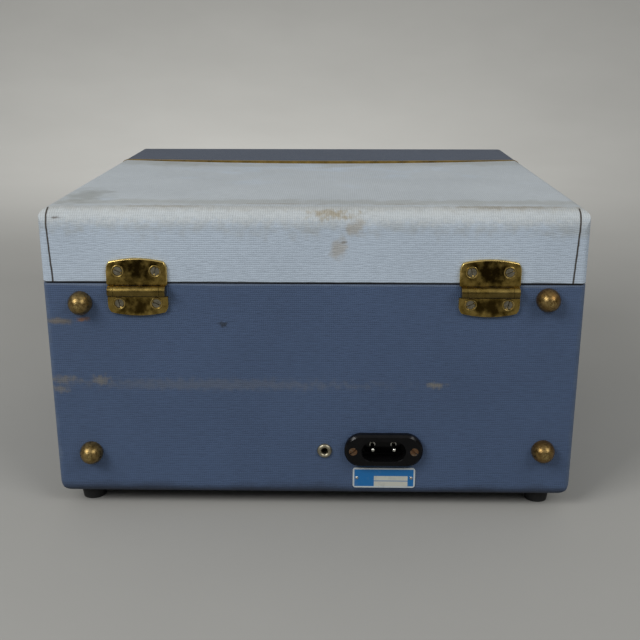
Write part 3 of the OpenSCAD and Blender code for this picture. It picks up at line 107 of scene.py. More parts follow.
class RecorderSizes(bpy.types.PropertyGroup):
    """Sizes of what the dressing adds, in metres."""

    lid_rib: length_row("Lid rib", "Spacing of the ribs in the lid's cloth", 1.25)
    # Real threads are too fine to show, so those of lid and body are drawn about twice as coarse
    lid_thread: length_row("Lid thread", "Spacing of the threads across the lid's ribs", 1.4)
    body_thread: length_row("Body thread", "Spacing of the threads under the body's coating", 1.3)
    lid_sag: length_row("Lid sag", "Sag of the old lid sheet at the middle of its front edge", 2.7)
    hood_sag: length_row("Hood sag", "Sag of the hood at the middle of its back edge", 1.2)
    plate_w: length_row("Plate width", "Width of the blue plate", 41.4)
    plate_h: length_row("Plate height", "Height of the blue plate", 14.4)
    plate_up: length_row("Plate place", "Height of the blue plate's middle above the underside", 12.7)
    plate_t: length_row("Plate thickness", "Thickness of the blue plate", 0.6)
    dial_gap: length_row("Dial gap", "Gap between a knob's skirt and its ring of strokes", 1.6)
    dial_strokes: bpy.props.IntProperty(
        name="Dial strokes", description="Number of strokes round a knob", default=11)


class RecorderColours(bpy.types.PropertyGroup):
    """Main colours of the coverings and mouldings."""

    body: colour_row("Body", "Leathercloth of the lower body", "#3f506c")
    lid: colour_row("Lid", "Cloth of the lid", "#a6b2bf")
    hood: colour_row("Hood", "Leathercloth of the lid's front", "#414957")
    ivory: colour_row("Ivory", "Deck enamel, keys and knobs", "#d9d0b8")
    plate: colour_row("Plate", "Enamel of the small plate", "#12619b")


def sizes():
    """The sizes that a user may have changed."""
    return bpy.context.scene.recorder_sizes


def colours():
    """The colours that a user may have changed."""
    return bpy.context.scene.recorder_colours


# How materials and trees are made


def add(tree, kind, *inputs, **settings):
    """Adds a node of the tree's family, fed by values, nodes or sockets, in order or as one dict by name."""
    made = tree.nodes.new(tree.bl_idname.removesuffix("Tree") + kind)
    for name, value in settings.items():
        setattr(made, name, value)
    named = inputs and isinstance(inputs[0], dict)
    for key, value in inputs[0].items() if named else enumerate(inputs):
        if isinstance(value, bpy.types.Node):
            value = value.outputs[0]
        if isinstance(value, bpy.types.NodeSocket):
            tree.links.new(value, made.inputs[key])
        else:
            made.inputs[key].default_value = value
    return made


def new_material(name, **constants):
    """A material, its tree and its shader, with constant values set on the shader's own sockets."""
    made = bpy.data.materials.new(name)
    made.use_nodes = True
    shader = made.node_tree.nodes["Principled BSDF"]
    for socket, value in constants.items():
        shader.inputs[socket.replace("_", " ")].default_value = value
    return made, made.node_tree, shader


def shade(colour, share):
    """The colour made darker or lighter by a factor."""
    return [min(c * share, 1.0) for c in colour[:3]] + [1.0]


def marked(tree, place, colour, marks):
    """Lays soft ragged marks over a colour; each is (hex, strength, centre, half size, grain), in mm."""
    raggedness, fades_in, is_full = 1.6, 1.75, 0.95
    for stain, strength, centre, half, grain in marks:
        away = add(tree, "VectorMath", place, [c * MM for c in centre], operation="SUBTRACT")
        share = add(tree, "VectorMath", away, [1 / (h * MM) for h in half], operation="MULTIPLY")
        reach = add(tree, "VectorMath", share, operation="LENGTH")
        noise = add(tree, "TexNoise", {"Vector": place, "Scale": 1 / (grain * MM), "Detail": 4.0})
        ragged = add(tree, "Math", noise, raggedness, reach.outputs[1], operation="MULTIPLY_ADD")
        mask = add(tree, "MapRange",
                   {"Value": ragged, "From Min": fades_in, "From Max": is_full, "To Max": strength},
                   interpolation_type="SMOOTHSTEP")
        colour = add(tree, "Mix", {0: mask, 6: colour, 7: linear(stain)}, data_type="RGBA").outputs[2]
    return colour


def woven(tree, rib, thread, rib_share, top_share):
    """Place, weave height and slub streaks of a cloth that lies on all sides of a box."""
    # Cosine of 45 degrees, slubs for each rib along and across it, and how far a slub bends a thread
    tilted, slub_long, slub_wide, bending = 0.707, 0.22, 0.8, 9.0
    coords = add(tree, "TexCoord")
    place = add(tree, "SeparateXYZ", coords.outputs["Object"])
    facing = add(tree, "SeparateXYZ", coords.outputs["Normal"])
    turned = []
    for axis in (0, 2):
        steep = add(tree, "Math", facing.outputs[axis], operation="ABSOLUTE")
        turned.append(add(tree, "Math", steep, tilted, operation="GREATER_THAN"))
    share = add(tree, "MapRange", {"Value": steep, "From Min": 0.1, "From Max": 0.6,
                                   "To Min": rib_share, "To Max": top_share})
    across = add(tree, "Mix", {0: turned[0], 2: place.outputs[0], 3: place.outputs[1]})
    along = add(tree, "Mix", {0: turned[1], 2: place.outputs[2], 3: place.outputs[1]})
    flat = add(tree, "CombineXYZ", across, along)
    stretched = add(tree, "VectorMath", flat, (slub_long / rib, slub_wide / rib, 0.0), operation="MULTIPLY")
    slub = add(tree, "TexNoise", {"Vector": stretched, "Scale": 1.0, "Detail": 2.0})
    sway = add(tree, "Math", slub, bending, operation="MULTIPLY")
    waves = []
    for line, spacing in ((along, rib), (across, thread)):
        angle = add(tree, "Math", line, math.tau / spacing, sway, operation="MULTIPLY_ADD")
        waves.append(add(tree, "Math", angle, operation="SINE"))
    height = add(tree, "Mix", {0: share, 2: waves[1], 3: waves[0]})
    return coords.outputs["Object"], height.outputs[0], slub.outputs[0]


def cloth(name, colour, rib, thread, shares, relief, contrast, marks, **constants):
    """Covering cloth: woven relief with painted shade in its grooves, slub streaks, broad fading, and marks
    of use and of painted light and shade.
    """
    # Size of a faded patch, how much the painted shade in the weave's grooves and the patches count beside
    # the slubs, and the range of their sum
    patch, groove_shade_share, patch_share = 55 * MM, 0.45, 0.8
    darkest, palest = 0.45, 1.35
    made, tree, shader = new_material(name, **constants)
    place, height, slub = woven(tree, rib, thread, *shares)
    fade = add(tree, "TexNoise", {"Vector": place, "Scale": 1 / patch, "Detail": 3.0})
    # Painted shade: the low places of the weave are darkened, together with the slub streaks
    groove_shade_and_slubs = add(tree, "Math", height, groove_shade_share, slub, operation="MULTIPLY_ADD")
    blend = add(tree, "Math", fade, patch_share, groove_shade_and_slubs, operation="MULTIPLY_ADD")
    tone = add(tree, "MapRange", {"Value": blend, "From Min": darkest, "From Max": palest,
                                  "To Min": 1 - contrast, "To Max": 1 + contrast})
    base = add(tree, "Mix", {0: 1.0, 6: marked(tree, place, colour, marks), 7: tone},
               data_type="RGBA", blend_type="MULTIPLY")
    tree.links.new(base.outputs[2], shader.inputs["Base Color"])
    bump = add(tree, "Bump", {"Height": height, "Strength": 0.8, "Distance": relief})
    tree.links.new(bump.outputs[0], shader.inputs["Normal"])
    return made


def mottled(name, colour, other, grain, roughness, relief=0.0, marks=(), **constants):
    """A finish whose colour and gloss drift between two values at a given grain size."""
    # The noise seldom leaves this range
    low, high = 0.32, 0.68
    made, tree, shader = new_material(name, **constants)
    place = add(tree, "TexCoord").outputs["Object"]
    noise = add(tree, "TexNoise", {"Vector": place, "Scale": 1 / grain, "Detail": 5.0, "Roughness": 0.6})
    share = add(tree, "MapRange", {"Value": noise, "From Min": low, "From Max": high})
    one, two = [linear(c) if isinstance(c, str) else c for c in (colour, other)]
    base = add(tree, "Mix", {0: share, 6: one, 7: two}, data_type="RGBA")
    tree.links.new(marked(tree, place, base.outputs[2], marks), shader.inputs["Base Color"])
    gloss = add(tree, "MapRange", {"Value": share, "To Min": roughness[0], "To Max": roughness[1]})
    tree.links.new(gloss.outputs[0], shader.inputs["Roughness"])
    if relief:
        bump = add(tree, "Bump", {"Height": noise, "Strength": 0.6, "Distance": relief})
        tree.links.new(bump.outputs[0], shader.inputs["Normal"])
    return made


# How pieces are made


def dress(material, *nodes):
    """Gives CAD nodes a material."""
    for name in nodes:
        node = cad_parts[name]
        if not node.material_slots:
            node.data.materials.append(material)
        for slot in node.material_slots:
            slot.material = material


def new_piece(name, mesh, material, body):
    """Links a finished mesh as a piece that rides on a body."""
    piece = bpy.data.objects.new(name, mesh)
    bpy.context.collection.objects.link(piece)
    mesh.materials.clear()
    mesh.materials.append(material)
    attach(piece, body)
    return piece


def node_copy(node):
    """A merged copy of a CAD node's mesh, with flat stretches joined into single faces."""
    work = bmesh.new()
    work.from_mesh(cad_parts[node].data)
    bmesh.ops.remove_doubles(work, verts=work.verts, dist=WELD)
    bmesh.ops.dissolve_limit(work, angle_limit=math.radians(0.6), verts=work.verts, edges=work.edges)
    return work


def finished_mesh(name, work, sharp_deg=38.0):
    """A smooth-shaded mesh from a bmesh, with flat faces kept flat beside small rounded edges."""
    mesh = bpy.data.meshes.new(name)
    work.to_mesh(mesh)
    work.free()
    for layer in ("custom_normal", "sharp_face"):
        if layer in mesh.attributes:
            mesh.attributes.remove(mesh.attributes[layer])
    mesh.shade_smooth()
    mesh.set_sharp_from_angle(angle=math.radians(sharp_deg))
    holder = bpy.data.objects.new(name + "_work", mesh)
    bpy.context.collection.objects.link(holder)
    weighted = holder.modifiers.new("flat faces", "WEIGHTED_NORMAL")
    weighted.keep_sharp = True
    depsgraph = bpy.context.evaluated_depsgraph_get()
    result = bpy.data.meshes.new_from_object(holder.evaluated_get(depsgraph))
    bpy.data.objects.remove(holder)
    result.name = name
    return result


def sharp_edges(work, chosen):
    """Edges that turn by more than 33 degrees and that the test picks."""
    turn = math.radians(33)
    return [e for e in work.edges if len(e.link_faces) == 2 and e.calc_face_angle(0.0) > turn and chosen(e)]


def softened(node, body, slot, material, *rounds, shift=None):
    """A copy of a CAD node with sharp edges rounded, standing for it; a round is (width, segments, test)."""
    work = node_copy(node)
    for vert in work.verts if shift else ():
        vert.co += shift(vert.co)
    for width, segments, chosen in rounds:
        bmesh.ops.bevel(work, geom=sharp_edges(work, chosen), offset=width, offset_type="OFFSET",
                        segments=segments, profile=0.5, affect="EDGES", clamp_overlap=True)
    bmesh.ops.triangulate(work, faces=[f for f in work.faces if len(f.verts) > 4])
    piece = new_piece(node + "_dressed", finished_mesh(node + "_dressed", work), material, body)
    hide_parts(node)
    return piece


def every(width, segments=3):
    """A round that takes all sharp edges."""
    return width, segments, lambda edge: True


def outward(width, segments=3):
    """A round that takes the sharp edges that point outwards."""
    return width, segments, lambda edge: edge.is_convex


def block(work, low, high, bevel):
    """Adds a box with rounded edges to a bmesh."""
    size = Vector(high) - Vector(low)
    place = Matrix.Translation((Vector(low) + Vector(high)) / 2) @ Matrix.Diagonal((*size, 1.0))
    made = bmesh.ops.create_cube(work, size=1.0, matrix=place)
    edges = {e for v in made["verts"] for e in v.link_edges}
    bmesh.ops.bevel(work, geom=list(edges), offset=bevel, segments=2, profile=0.5, affect="EDGES")


def lathe(profile, segments, matrix):
    """A bmesh turned from (radius, height) points about the local Z axis."""
    work = bmesh.new()
    rings = []
    for radius, height in profile:
        if radius == 0:
            rings.append([work.verts.new((0, 0, height))])
            continue
        turn = [math.tau * i / segments for i in range(segments)]
        rings.append([work.verts.new((radius * math.cos(a), radius * math.sin(a), height)) for a in turn])
    for one, two in zip(rings, rings[1:]):
        for i in range(segments):
            j = (i + 1) % segments
            corners = [one[i % len(one)], one[j % len(one)], two[j % len(two)], two[i % len(two)]]
            work.faces.new(list(dict.fromkeys(corners)))
    bmesh.ops.recalc_face_normals(work, faces=work.faces)
    work.transform(matrix)
    return work


def growing_tree(name, sockets):
    """An empty Geometry Nodes tree with named inputs, its input node and its output node."""
    tree = bpy.data.node_groups.new(name, "GeometryNodeTree")
    tree.interface.new_socket("Geometry", in_out="OUTPUT", socket_type="NodeSocketGeometry")
    for label, kind in sockets:
        tree.interface.new_socket(label, in_out="INPUT", socket_type="NodeSocket" + kind)
    return tree, tree.nodes.new("NodeGroupInput"), tree.nodes.new("NodeGroupOutput")


def finish_tree(tree, copies, finish, output):
    """Makes the copies real, gives them their finish and hands them out."""
    real = add(tree, "RealizeInstances", copies)
    done = add(tree, "SetMaterial", {"Geometry": real, "Material": finish})
    tree.links.new(done.outputs[0], output.inputs[0])
    return tree


def grown(name, tree, values, points=()):
    """The plain mesh that a tree makes, on seed points where it wants them."""
    mesh = bpy.data.meshes.new(name + "_seed")
    mesh.from_pydata([tuple(p) for p in points], [], [])
    seed = bpy.data.objects.new(name + "_seed", mesh)
    bpy.context.collection.objects.link(seed)
    modifier = seed.modifiers.new("grow", "NODES")
    modifier.node_group = tree
    for item in tree.interface.items_tree:
        if item.item_type == "SOCKET" and item.in_out == "INPUT" and item.name in values:
            modifier[item.identifier] = values[item.name]
    depsgraph = bpy.context.evaluated_depsgraph_get()
    result = bpy.data.meshes.new_from_object(seed.evaluated_get(depsgraph))
    seed.modifiers.clear()
    bpy.data.objects.remove(seed)
    if not result.polygons:
        raise RuntimeError(name + " came out empty")
    result.name = name
    result.shade_smooth()
    result.set_sharp_from_angle(angle=math.radians(40))
    return result


# Finishes


def body_leathercloth():
    """Coated cloth, embossed: a dull even slate blue with a faint thread, worn pale at the corners, with a
    pale rim that is partly wear and partly painted highlight, and painted shade towards the bottom.
    """
    marks = [
        # Pale rim: partly wear, partly a painted highlight where the rounded top edge catches the light
        ("#6a7689", 0.6, (0, 0, RIM_MM), (ENDLESS, ENDLESS, 1.7), 25),
        ("#5a6779", 0.4, (SIDE_MM, 0, 0), (4, ENDLESS, ENDLESS), 12),
        ("#5a6779", 0.4, (-SIDE_MM, 0, 0), (4, ENDLESS, ENDLESS), 12),
        # Painted shade: darker towards the underside
        ("#262c39", 0.75, (0, 0, UNDER_MM), (ENDLESS, ENDLESS, 11), 45),
        ("#6f6c62", 0.2, (60, BACK_MM, 88), (150, 30, 6), 4),
        ("#857c62", 0.5, (-79, BACK_MM, 88.5), (9, 30, 3.4), 3),
        ("#7d7359", 0.42, (162, BACK_MM, 91), (15, 30, 4), 3),
        ("#7d7359", 0.4, (164, BACK_MM, 84.5), (10, 30, 4), 3),
        ("#7d7359", 0.42, (137, BACK_MM, 90.5), (9, 30, 5), 2.5),
        ("#7a6c4d", 0.5, (163, BACK_MM, 130.5), (15, 30, 3), 5),
        ("#7a5224", 0.75, (146, BACK_MM, 131.5), (5, 30, 2.4), 4),
        ("#232a34", 0.85, (57, BACK_MM, 128.5), (4.5, 30, 3.2), 1.6),
    ]
    thread = sizes().body_thread
    return cloth("leathercloth_slate_embossed", colours().body, thread, thread, EVEN_WEAVE, 0.1 * MM, 0.16,
                 marks, Roughness=0.62, Specular_IOR_Level=0.35)


def cracked(material, cracks):
    """Draws thin brown cracks up the lid's back; each is (side, distance at the rim, lean outwards)."""
    grain, wander, core, edge = 5 * MM, 0.7 * MM, 0.35 * MM, 0.75 * MM
    first_y, full_y = Y_BACK - 10 * MM, Y_BACK - 8 * MM
    tree = material.node_tree
    base = tree.nodes["Principled BSDF"].inputs["Base Color"]
    colour = base.links[0].from_socket
    place = add(tree, "TexCoord").outputs["Object"]
    parts = add(tree, "SeparateXYZ", place)
    noise = add(tree, "TexNoise", {"Vector": place, "Scale": 1 / grain, "Detail": 4.0})
    behind = add(tree, "MapRange", {"Value": parts.outputs[1], "From Min": first_y, "From Max": full_y,
                                    "To Max": 0.95})
    for side, foot, lean in cracks:
        start = foot - lean * LID_LOW.z - wander / 2
        line = add(tree, "Math", parts.outputs[2], lean, start, operation="MULTIPLY_ADD")
        bent = add(tree, "Math", noise, wander, line, operation="MULTIPLY_ADD")
        off = add(tree, "Math", parts.outputs[0], side, bent, operation="MULTIPLY_ADD")
        away = add(tree, "Math", off, operation="ABSOLUTE")
        thin = add(tree, "MapRange", {"Value": away, "From Min": edge, "From Max": core, "To Max": behind})
        colour = add(tree, "Mix", {0: thin, 6: colour, 7: linear("#2e2519")}, data_type="RGBA").outputs[2]
    tree.links.new(colour, base)


def lid_cloth():
    """Ribbed cloth, thinly coated: pale and matt, greyed along the bend and flecked pale there, partly by
    wear and partly as painted highlight, with dust and brown dirt on top.
    """
    bend = BACK_MM - 9
    marks = [
        # Nearly black along the lid's lower edge, thickening the dark parting line
        ("#25262a", 0.85, (0, 0, LIP_MM), (ENDLESS, ENDLESS, 0.8), 25),
        ("#a0a2a0", 0.62, (0, 0, TOP_MM), (ENDLESS, ENDLESS, 5), 30),
        ("#85867f", 0.4, (0, SPLIT_MM + 8, TOP_MM), (ENDLESS, 30, 8), 20),
        ("#85857c", 0.4, (0, BACK_MM - 27, TOP_MM), (ENDLESS, 15, 8), 12),
        ("#767870", 0.5, (152, BACK_MM - 50, TOP_MM), (26, 40, 8), 12),
        ("#81837c", 0.4, (118, SPLIT_MM + 18, TOP_MM), (34, 22, 8), 12),
        ("#9ba1a4", 0.75, (0, BACK_MM - 4, TOP_MM - 4), (ENDLESS, 16, 16), 6),
        # Pale flecks on the bend: partly worn cloth, partly a painted highlight on the rounded bend
        ("#c2c4c1", 0.3, (0, BACK_MM - 4, TOP_MM - 4), (ENDLESS, 9, 9), 2),
        ("#8f8a7d", 0.25, (0, bend, TOP_MM), (ENDLESS, 6, 6), 5),
        ("#7b7464", 0.6, (-120, bend - 2, TOP_MM), (60, 5, 8), 4),
        ("#837d6f", 0.45, (95, bend - 3, TOP_MM), (50, 4, 8), 4),
        ("#857655", 0.65, (-12, BACK_MM - 3, TOP_MM - 2), (22, 6, 7), 3),
        ("#7d766a", 0.45, (-55, BACK_MM - 20, TOP_MM), (26, 3, 8), 4),
        ("#7d766a", 0.45, (20, BACK_MM - 20, TOP_MM), (50, 3, 8), 4),
        ("#948b7a", 0.5, (-26, BACK_MM, 191), (9, 30, 8), 6),
        ("#948b7a", 0.55, (-16, BACK_MM, 177), (8, 30, 10), 6),
        ("#6a5f50", 0.6, (-19, BACK_MM, 182), (2.5, 30, 1.5), 2),
        ("#4a4038", 0.7, (159, BACK_MM, 196.5), (5, 30, 1.0), 2),
    ]
    size = sizes()
    made = cloth("ribbed_cloth_pale_woven", colours().lid, size.lid_rib, size.lid_thread, RIBBED_UPRIGHT,
                 0.07 * MM, 0.13, marks, Roughness=0.78, Specular_IOR_Level=0.3)
    cracked(made, ((-1, 163.1 * MM, 0.04), (1, 161.4 * MM, 0.051)))
    return made


def hood_leathercloth():
    """Coated cloth, embossed: the darker slate of the lid's front, a little smoother than the body's."""
    marks = [
        ("#6d7480", 0.5, (0, FRONT_MM, TOP_MM), (ENDLESS, 9, 9), 8),
        ("#6d7480", 0.4, (0, 0, LIP_MM), (ENDLESS, ENDLESS, 3), 7),
    ]
    thread = sizes().body_thread
    return cloth("leathercloth_hood_embossed", colours().hood, thread, thread, EVEN_WEAVE, 0.08 * MM, 0.12,
                 marks, Roughness=0.6, Specular_IOR_Level=0.35)


def cast_brass():
    """Brass, cast and handled for years: warm, half dull, brown patina in cloudy patches."""
    return mottled("brass_cast_tarnished", "#7d6533", "#a4894e", 7 * MM, (0.24, 0.42), 0.03 * MM,
                   Metallic=1.0)


def hinge_brass():
    """Brass, pressed: nearly black in the middle of each leaf, with a painted highlight along the rounded
    rims.
    """
    # In millimetres, like the marks
    half_hinge, lid_leaf_z, body_leaf_z = 19, 164.5, 141.5
    axis_z = middle("hinge_pins").z
    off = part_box("hinge_lid_leaves")[1].x / MM - half_hinge
    marks = [("#5f5230", 0.7, (0, BACK_MM, axis_z / MM), (ENDLESS, 30, BARREL_R / MM), 14)]
    for x in (-off, off):
        marks.append(("#191004", 0.95, (x, BACK_MM, lid_leaf_z), (21, 30, 14), 5))
        marks.append(("#241906", 0.9, (x, BACK_MM, body_leaf_z), (19, 30, 9), 5))
    made = mottled("brass_pressed_tarnished", "#6f5b28", "#998247", 5 * MM, (0.22, 0.36), 0.02 * MM, marks,
                   Metallic=1.0)
    # Painted highlight: rounded rims that turn away from the back are painted bright gold, away from the
    # barrel
    tree = made.node_tree
    base = tree.nodes["Principled BSDF"].inputs["Base Color"]
    coords = add(tree, "TexCoord")
    facing = add(tree, "SeparateXYZ", coords.outputs["Normal"])
    place = add(tree, "SeparateXYZ", coords.outputs["Object"])
    height = add(tree, "Math", place.outputs[2], axis_z, operation="SUBTRACT")
    away = add(tree, "Math", height, operation="ABSOLUTE")
    clear = add(tree, "MapRange", {"Value": away, "From Min": BARREL_R, "From Max": BARREL_R + 0.5 * MM,
                                   "To Max": 0.85})
    rim_highlight = add(tree, "MapRange", {"Value": facing.outputs[1], "From Min": 0.97, "From Max": 0.8,
                                    "To Max": clear})
    bright = add(tree, "Mix", {0: rim_highlight, 6: base.links[0].from_socket, 7: linear("#dcbf78")},
                 data_type="RGBA")
    tree.links.new(bright.outputs[2], base)
    return made


def rubbed_brass():
    """Brass worn bright by screwdrivers: pale gold with clear highlights."""
    return mottled("brass_rubbed_bright", "#8c7740", "#b39c62", 3 * MM, (0.22, 0.36), Metallic=1.0)


def stud_brass():
    """Brass, turned: brown patina in small flecks with a paler crown, partly worn and partly a painted
    highlight.
    """
    marks = [
        ("#6f4a1d", 0.55, (-SIDE_MM, BACK_MM, 0), (90, 15, ENDLESS), 6),
        # Pale crown at the tip: partly worn brass, partly a painted highlight
        ("#d2bd80", 0.75, (0, BACK_MM + 12, 0), (ENDLESS, 2.9, ENDLESS), 0.9),
    ]
    return mottled("brass_turned_tarnished", "#5d4a25", "#8f794c", 2.2 * MM, (0.22, 0.42), 0.08 * MM, marks,
                   Metallic=0.85)


def rolled_gilt():
    """Gilt brass strip, rolled: a thin warm line, tarnished to dark gold."""
    return mottled("gilt_brass_rolled", "#86692f", "#b39350", 9 * MM, (0.25, 0.4), Metallic=1.0)


def screw_steel():
    """Steel screws, slotted: brown-grey with old dirt, a dull sheen on the rims."""
    inlet = middle("mains_inlet") / MM
    marks = [("#7a5233", 0.8, (inlet.x, BACK_MM, inlet.z), (60, 30, 25), 3)]
    return mottled("steel_slotted_dirty", "#6a6557", "#969080", 1.5 * MM, (0.32, 0.5), marks=marks,
                   Metallic=1.0)


def turned_steel():
    """Steel, turned and dulled: grey with a soft sheen."""
    return mottled("steel_turned_dull", "#85888b", "#a8aaab", 3 * MM, (0.3, 0.5), Metallic=1.0)


def plated_nickel():
    """Nickel plate on brass: bright, slightly warm, with clear reflections."""
    return mottled("nickel_plated_brass", "#b3b2ab", "#cfcdc5", 4 * MM, (0.14, 0.26), Metallic=1.0)


def worn_nickel():
    """Nickel plate worn to the brass: warm cream, half bright."""
    return mottled("nickel_worn_warm", "#928b76", "#aaa491", 2.5 * MM, (0.32, 0.48), Metallic=1.0)


def black_bakelite():
    """Phenolic moulding, polished by its mould: deep black with sharp highlights."""
    return mottled("bakelite_moulded_black", "#060607", "#0c0b0c", 6 * MM, (0.1, 0.18),
                   Specular_IOR_Level=0.16)


def black_rubber():
    """Rubber, moulded: black, matt and slightly grey with bloom."""
    return mottled("rubber_moulded_black", "#0d0d0e", "#1b1b1c", 5 * MM, (0.7, 0.9), 0.05 * MM)


def bare_plywood():
    """Birch plywood, sawn: pale brown with a faint streak."""
    return mottled("plywood_birch_sawn", "#a07c50", "#b8935f", 14 * MM, (0.6, 0.8), 0.05 * MM)


def stoved_enamel():
    """Stove enamel on steel: ivory, even, with a low orange-peel gloss."""
    ivory = colours().ivory
    return mottled("enamel_stoved_ivory", shade(ivory, 0.95), shade(ivory, 1.04), 2.5 * MM, (0.28, 0.4),
                   0.015 * MM, Coat_Weight=0.15)


def ivory_urea():
    """Urea moulding: ivory, glossy, yellowed a little unevenly."""
    ivory = colours().ivory
    return mottled("urea_moulded_ivory", shade(ivory, 0.9), shade(ivory, 1.05), 16 * MM, (0.2, 0.32),
                   Coat_Weight=0.2)


def red_urea():
    """Urea moulding: brick red, glossy."""
    return mottled("urea_moulded_red", "#8e2f24", "#a53d30", 12 * MM, (0.2, 0.32), Coat_Weight=0.2)


def slate_polystyrene():
    """Polystyrene moulding with a fine leather grain: dark slate, half matt."""
    return mottled("polystyrene_moulded_slate", "#444b59", "#525966", 1.2 * MM, (0.4, 0.55), 0.05 * MM)


def reel_polystyrene():
    """Polystyrene, clear but smoky: pale grey with bright edges."""
    return mottled("polystyrene_moulded_pale", "#c3c4bd", "#d6d6cf", 18 * MM, (0.12, 0.22), Coat_Weight=0.3)


def oxide_tape():
    """Acetate tape coated with iron oxide: reddish brown with a silky sheen."""
    return mottled("tape_coated_oxide", "#3f281c", "#573a2b", 2 * MM, (0.35, 0.5))


def black_iron():
    """Iron, japanned: black with a dusty half gloss."""
    return mottled("iron_japanned_black", "#27282a", "#3a3b3d", 8 * MM, (0.4, 0.6), 0.03 * MM)


def cone_paper():
    """Pulp paper, moulded: soft black with a fibrous grain."""
    return mottled("paper_moulded_black", "#1d1c1b", "#2b2a28", 1.5 * MM, (0.85, 0.95), 0.1 * MM)


def lining_cloth():
    """Thin ivory lining cloth, glued: matt, with a plain weave."""
    # Coarser than the real thread, so that it shows
    thread = 1.0 * MM
    return cloth("lining_cloth_ivory", colours().ivory, thread, thread, EVEN_WEAVE, 0.04 * MM, 0.05, (),
                 Roughness=0.85)


def blown_glass():
    """Glass, blown and silvered inside: grey-green and glossy."""
    return mottled("glass_blown_silvered", "#59625f", "#8b9592", 12 * MM, (0.05, 0.12), Coat_Weight=0.6)


def grille_cloth():
    """Loose woven cloth: dark brown-grey with lighter threads."""
    # Coarser than the real thread, so that it shows
    thread = 1.6 * MM
    return cloth("grille_cloth_woven", linear("#4d463d"), thread, thread, EVEN_WEAVE, 0.15 * MM, 0.35, (),
                 Roughness=0.9)


def dial_ink():
    """Screen-printed ink: flat dark slate, slightly matt."""
    return mottled("ink_printed_slate", "#2b313b", "#353b46", 3 * MM, (0.5, 0.65))


def plate_enamel(centre):
    """Vitreous enamel on steel: glossy blue with a pale border and two blank pale fields."""
    made, tree, shader = new_material("enamel_fired_blue", Roughness=0.3)
    place = add(tree, "TexCoord").outputs["Object"]
    parts = add(tree, "SeparateXYZ", place)
    width, height = sizes().plate_w, sizes().plate_h
    border, wear_grain = 1.1 * MM, 5 * MM
    blue, field = colours().plate, linear("#b3b4ab")
    colour = linear("#b4babb")
    # Shares of the plate's width and height, from its middle: place and half size of each field
    for paint, at_x, at_z, half_x, half_z in (
        (blue, 0, 0, 0.5 - border / width, 0.5 - border / height),
        (field, -0.11, -0.02, 0.27, 0.115),
        (field, -0.11, -0.295, 0.27, 0.125),
    ):
        inside = 1.0
        for axis, at, half in ((0, centre[0] + at_x * width, half_x * width),
                               (2, centre[1] + at_z * height, half_z * height)):
            off = add(tree, "Math", parts.outputs[axis], at, operation="SUBTRACT")
            away = add(tree, "Math", off, operation="ABSOLUTE")
            near = add(tree, "Math", away, half, operation="LESS_THAN")
            inside = add(tree, "Math", inside, near, operation="MULTIPLY")
        colour = add(tree, "Mix", {0: inside, 6: colour, 7: paint}, data_type="RGBA").outputs[2]
    noise = add(tree, "TexNoise", {"Vector": place, "Scale": 1 / wear_grain, "Detail": 4.0})
    worn = add(tree, "MapRange", {"Value": noise, "From Min": 0.55, "From Max": 0.75, "To Max": 0.3})
    final = add(tree, "Mix", {0: worn, 6: colour, 7: linear("#6f7f88")}, data_type="RGBA")
    tree.links.new(final.outputs[2], shader.inputs["Base Color"])
    return made


def phosphor_eye(centre):
    """Lead glass over a phosphor fan: dark, with a dim green ring that opens in a wedge, the glow of a
    working tube painted as plain colour.
    """
    # Radii between which the ring fades in and out, and angles between which the wedge ends
    inner, outer, wedge_turn = (4.2 * MM, 5 * MM), (11 * MM, 10 * MM), (0.55, 0.65)
    made, tree, shader = new_material("glass_phosphor_green", Roughness=0.06, Coat_Weight=0.8)
    place = add(tree, "TexCoord").outputs["Object"]
    off = add(tree, "VectorMath", place, (centre.x, centre.y, 0), operation="SUBTRACT")
    parts = add(tree, "SeparateXYZ", off)
    flat = add(tree, "CombineXYZ", parts.outputs[0], parts.outputs[1])
    away = add(tree, "VectorMath", flat, operation="LENGTH").outputs[1]
    angle = add(tree, "Math", parts.outputs[0], parts.outputs[1], operation="ARCTAN2")
    turn = add(tree, "Math", angle, operation="ABSOLUTE").outputs[0]
    lit = 1.0
    for value, (first, last) in ((away, inner), (away, outer), (turn, wedge_turn)):
        share = add(tree, "MapRange", {"Value": value, "From Min": first, "From Max": last})
        lit = add(tree, "Math", lit, share, operation="MULTIPLY").outputs[0]
    # Painted glow: the ring and its wedge are the light of a working tube, laid into the base colour
    colour = add(tree, "Mix", {0: lit, 6: linear("#101a14"), 7: linear("#4c9a6a")}, data_type="RGBA")
    tree.links.new(colour.outputs[2], shader.inputs["Base Color"])
    return made


# Steps, one for each group of pieces


class RECORDER_OT_case(bpy.types.Operator):
    """Cover the lower body and finish its feet and studs"""

    bl_idname = "recorder.case"
    bl_label = "Case"

    def execute(self, context):
        dress(body_leathercloth(), "case_wrap", "case_back", "case_front")
        low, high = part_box("rubber_feet")
        inset = 8.5 * MM
        spread = 0.3

        def squat(place):
            """Old feet have spread under the weight, most at the floor."""
            middle_x = math.copysign(high.x - inset, place.x)
            middle_y = high.y - inset if place.y > (low.y + high.y) / 2 else low.y + inset
            return Vector((place.x - middle_x, place.y - middle_y, 0)) * spread * (1 - place.z / Z_UNDER)

        softened("rubber_feet", "case", "rubber", black_rubber(), shift=squat)
        dress(stud_brass(), "back_studs")
        dress(bare_plywood(), "deck_battens")
        return {"FINISHED"}


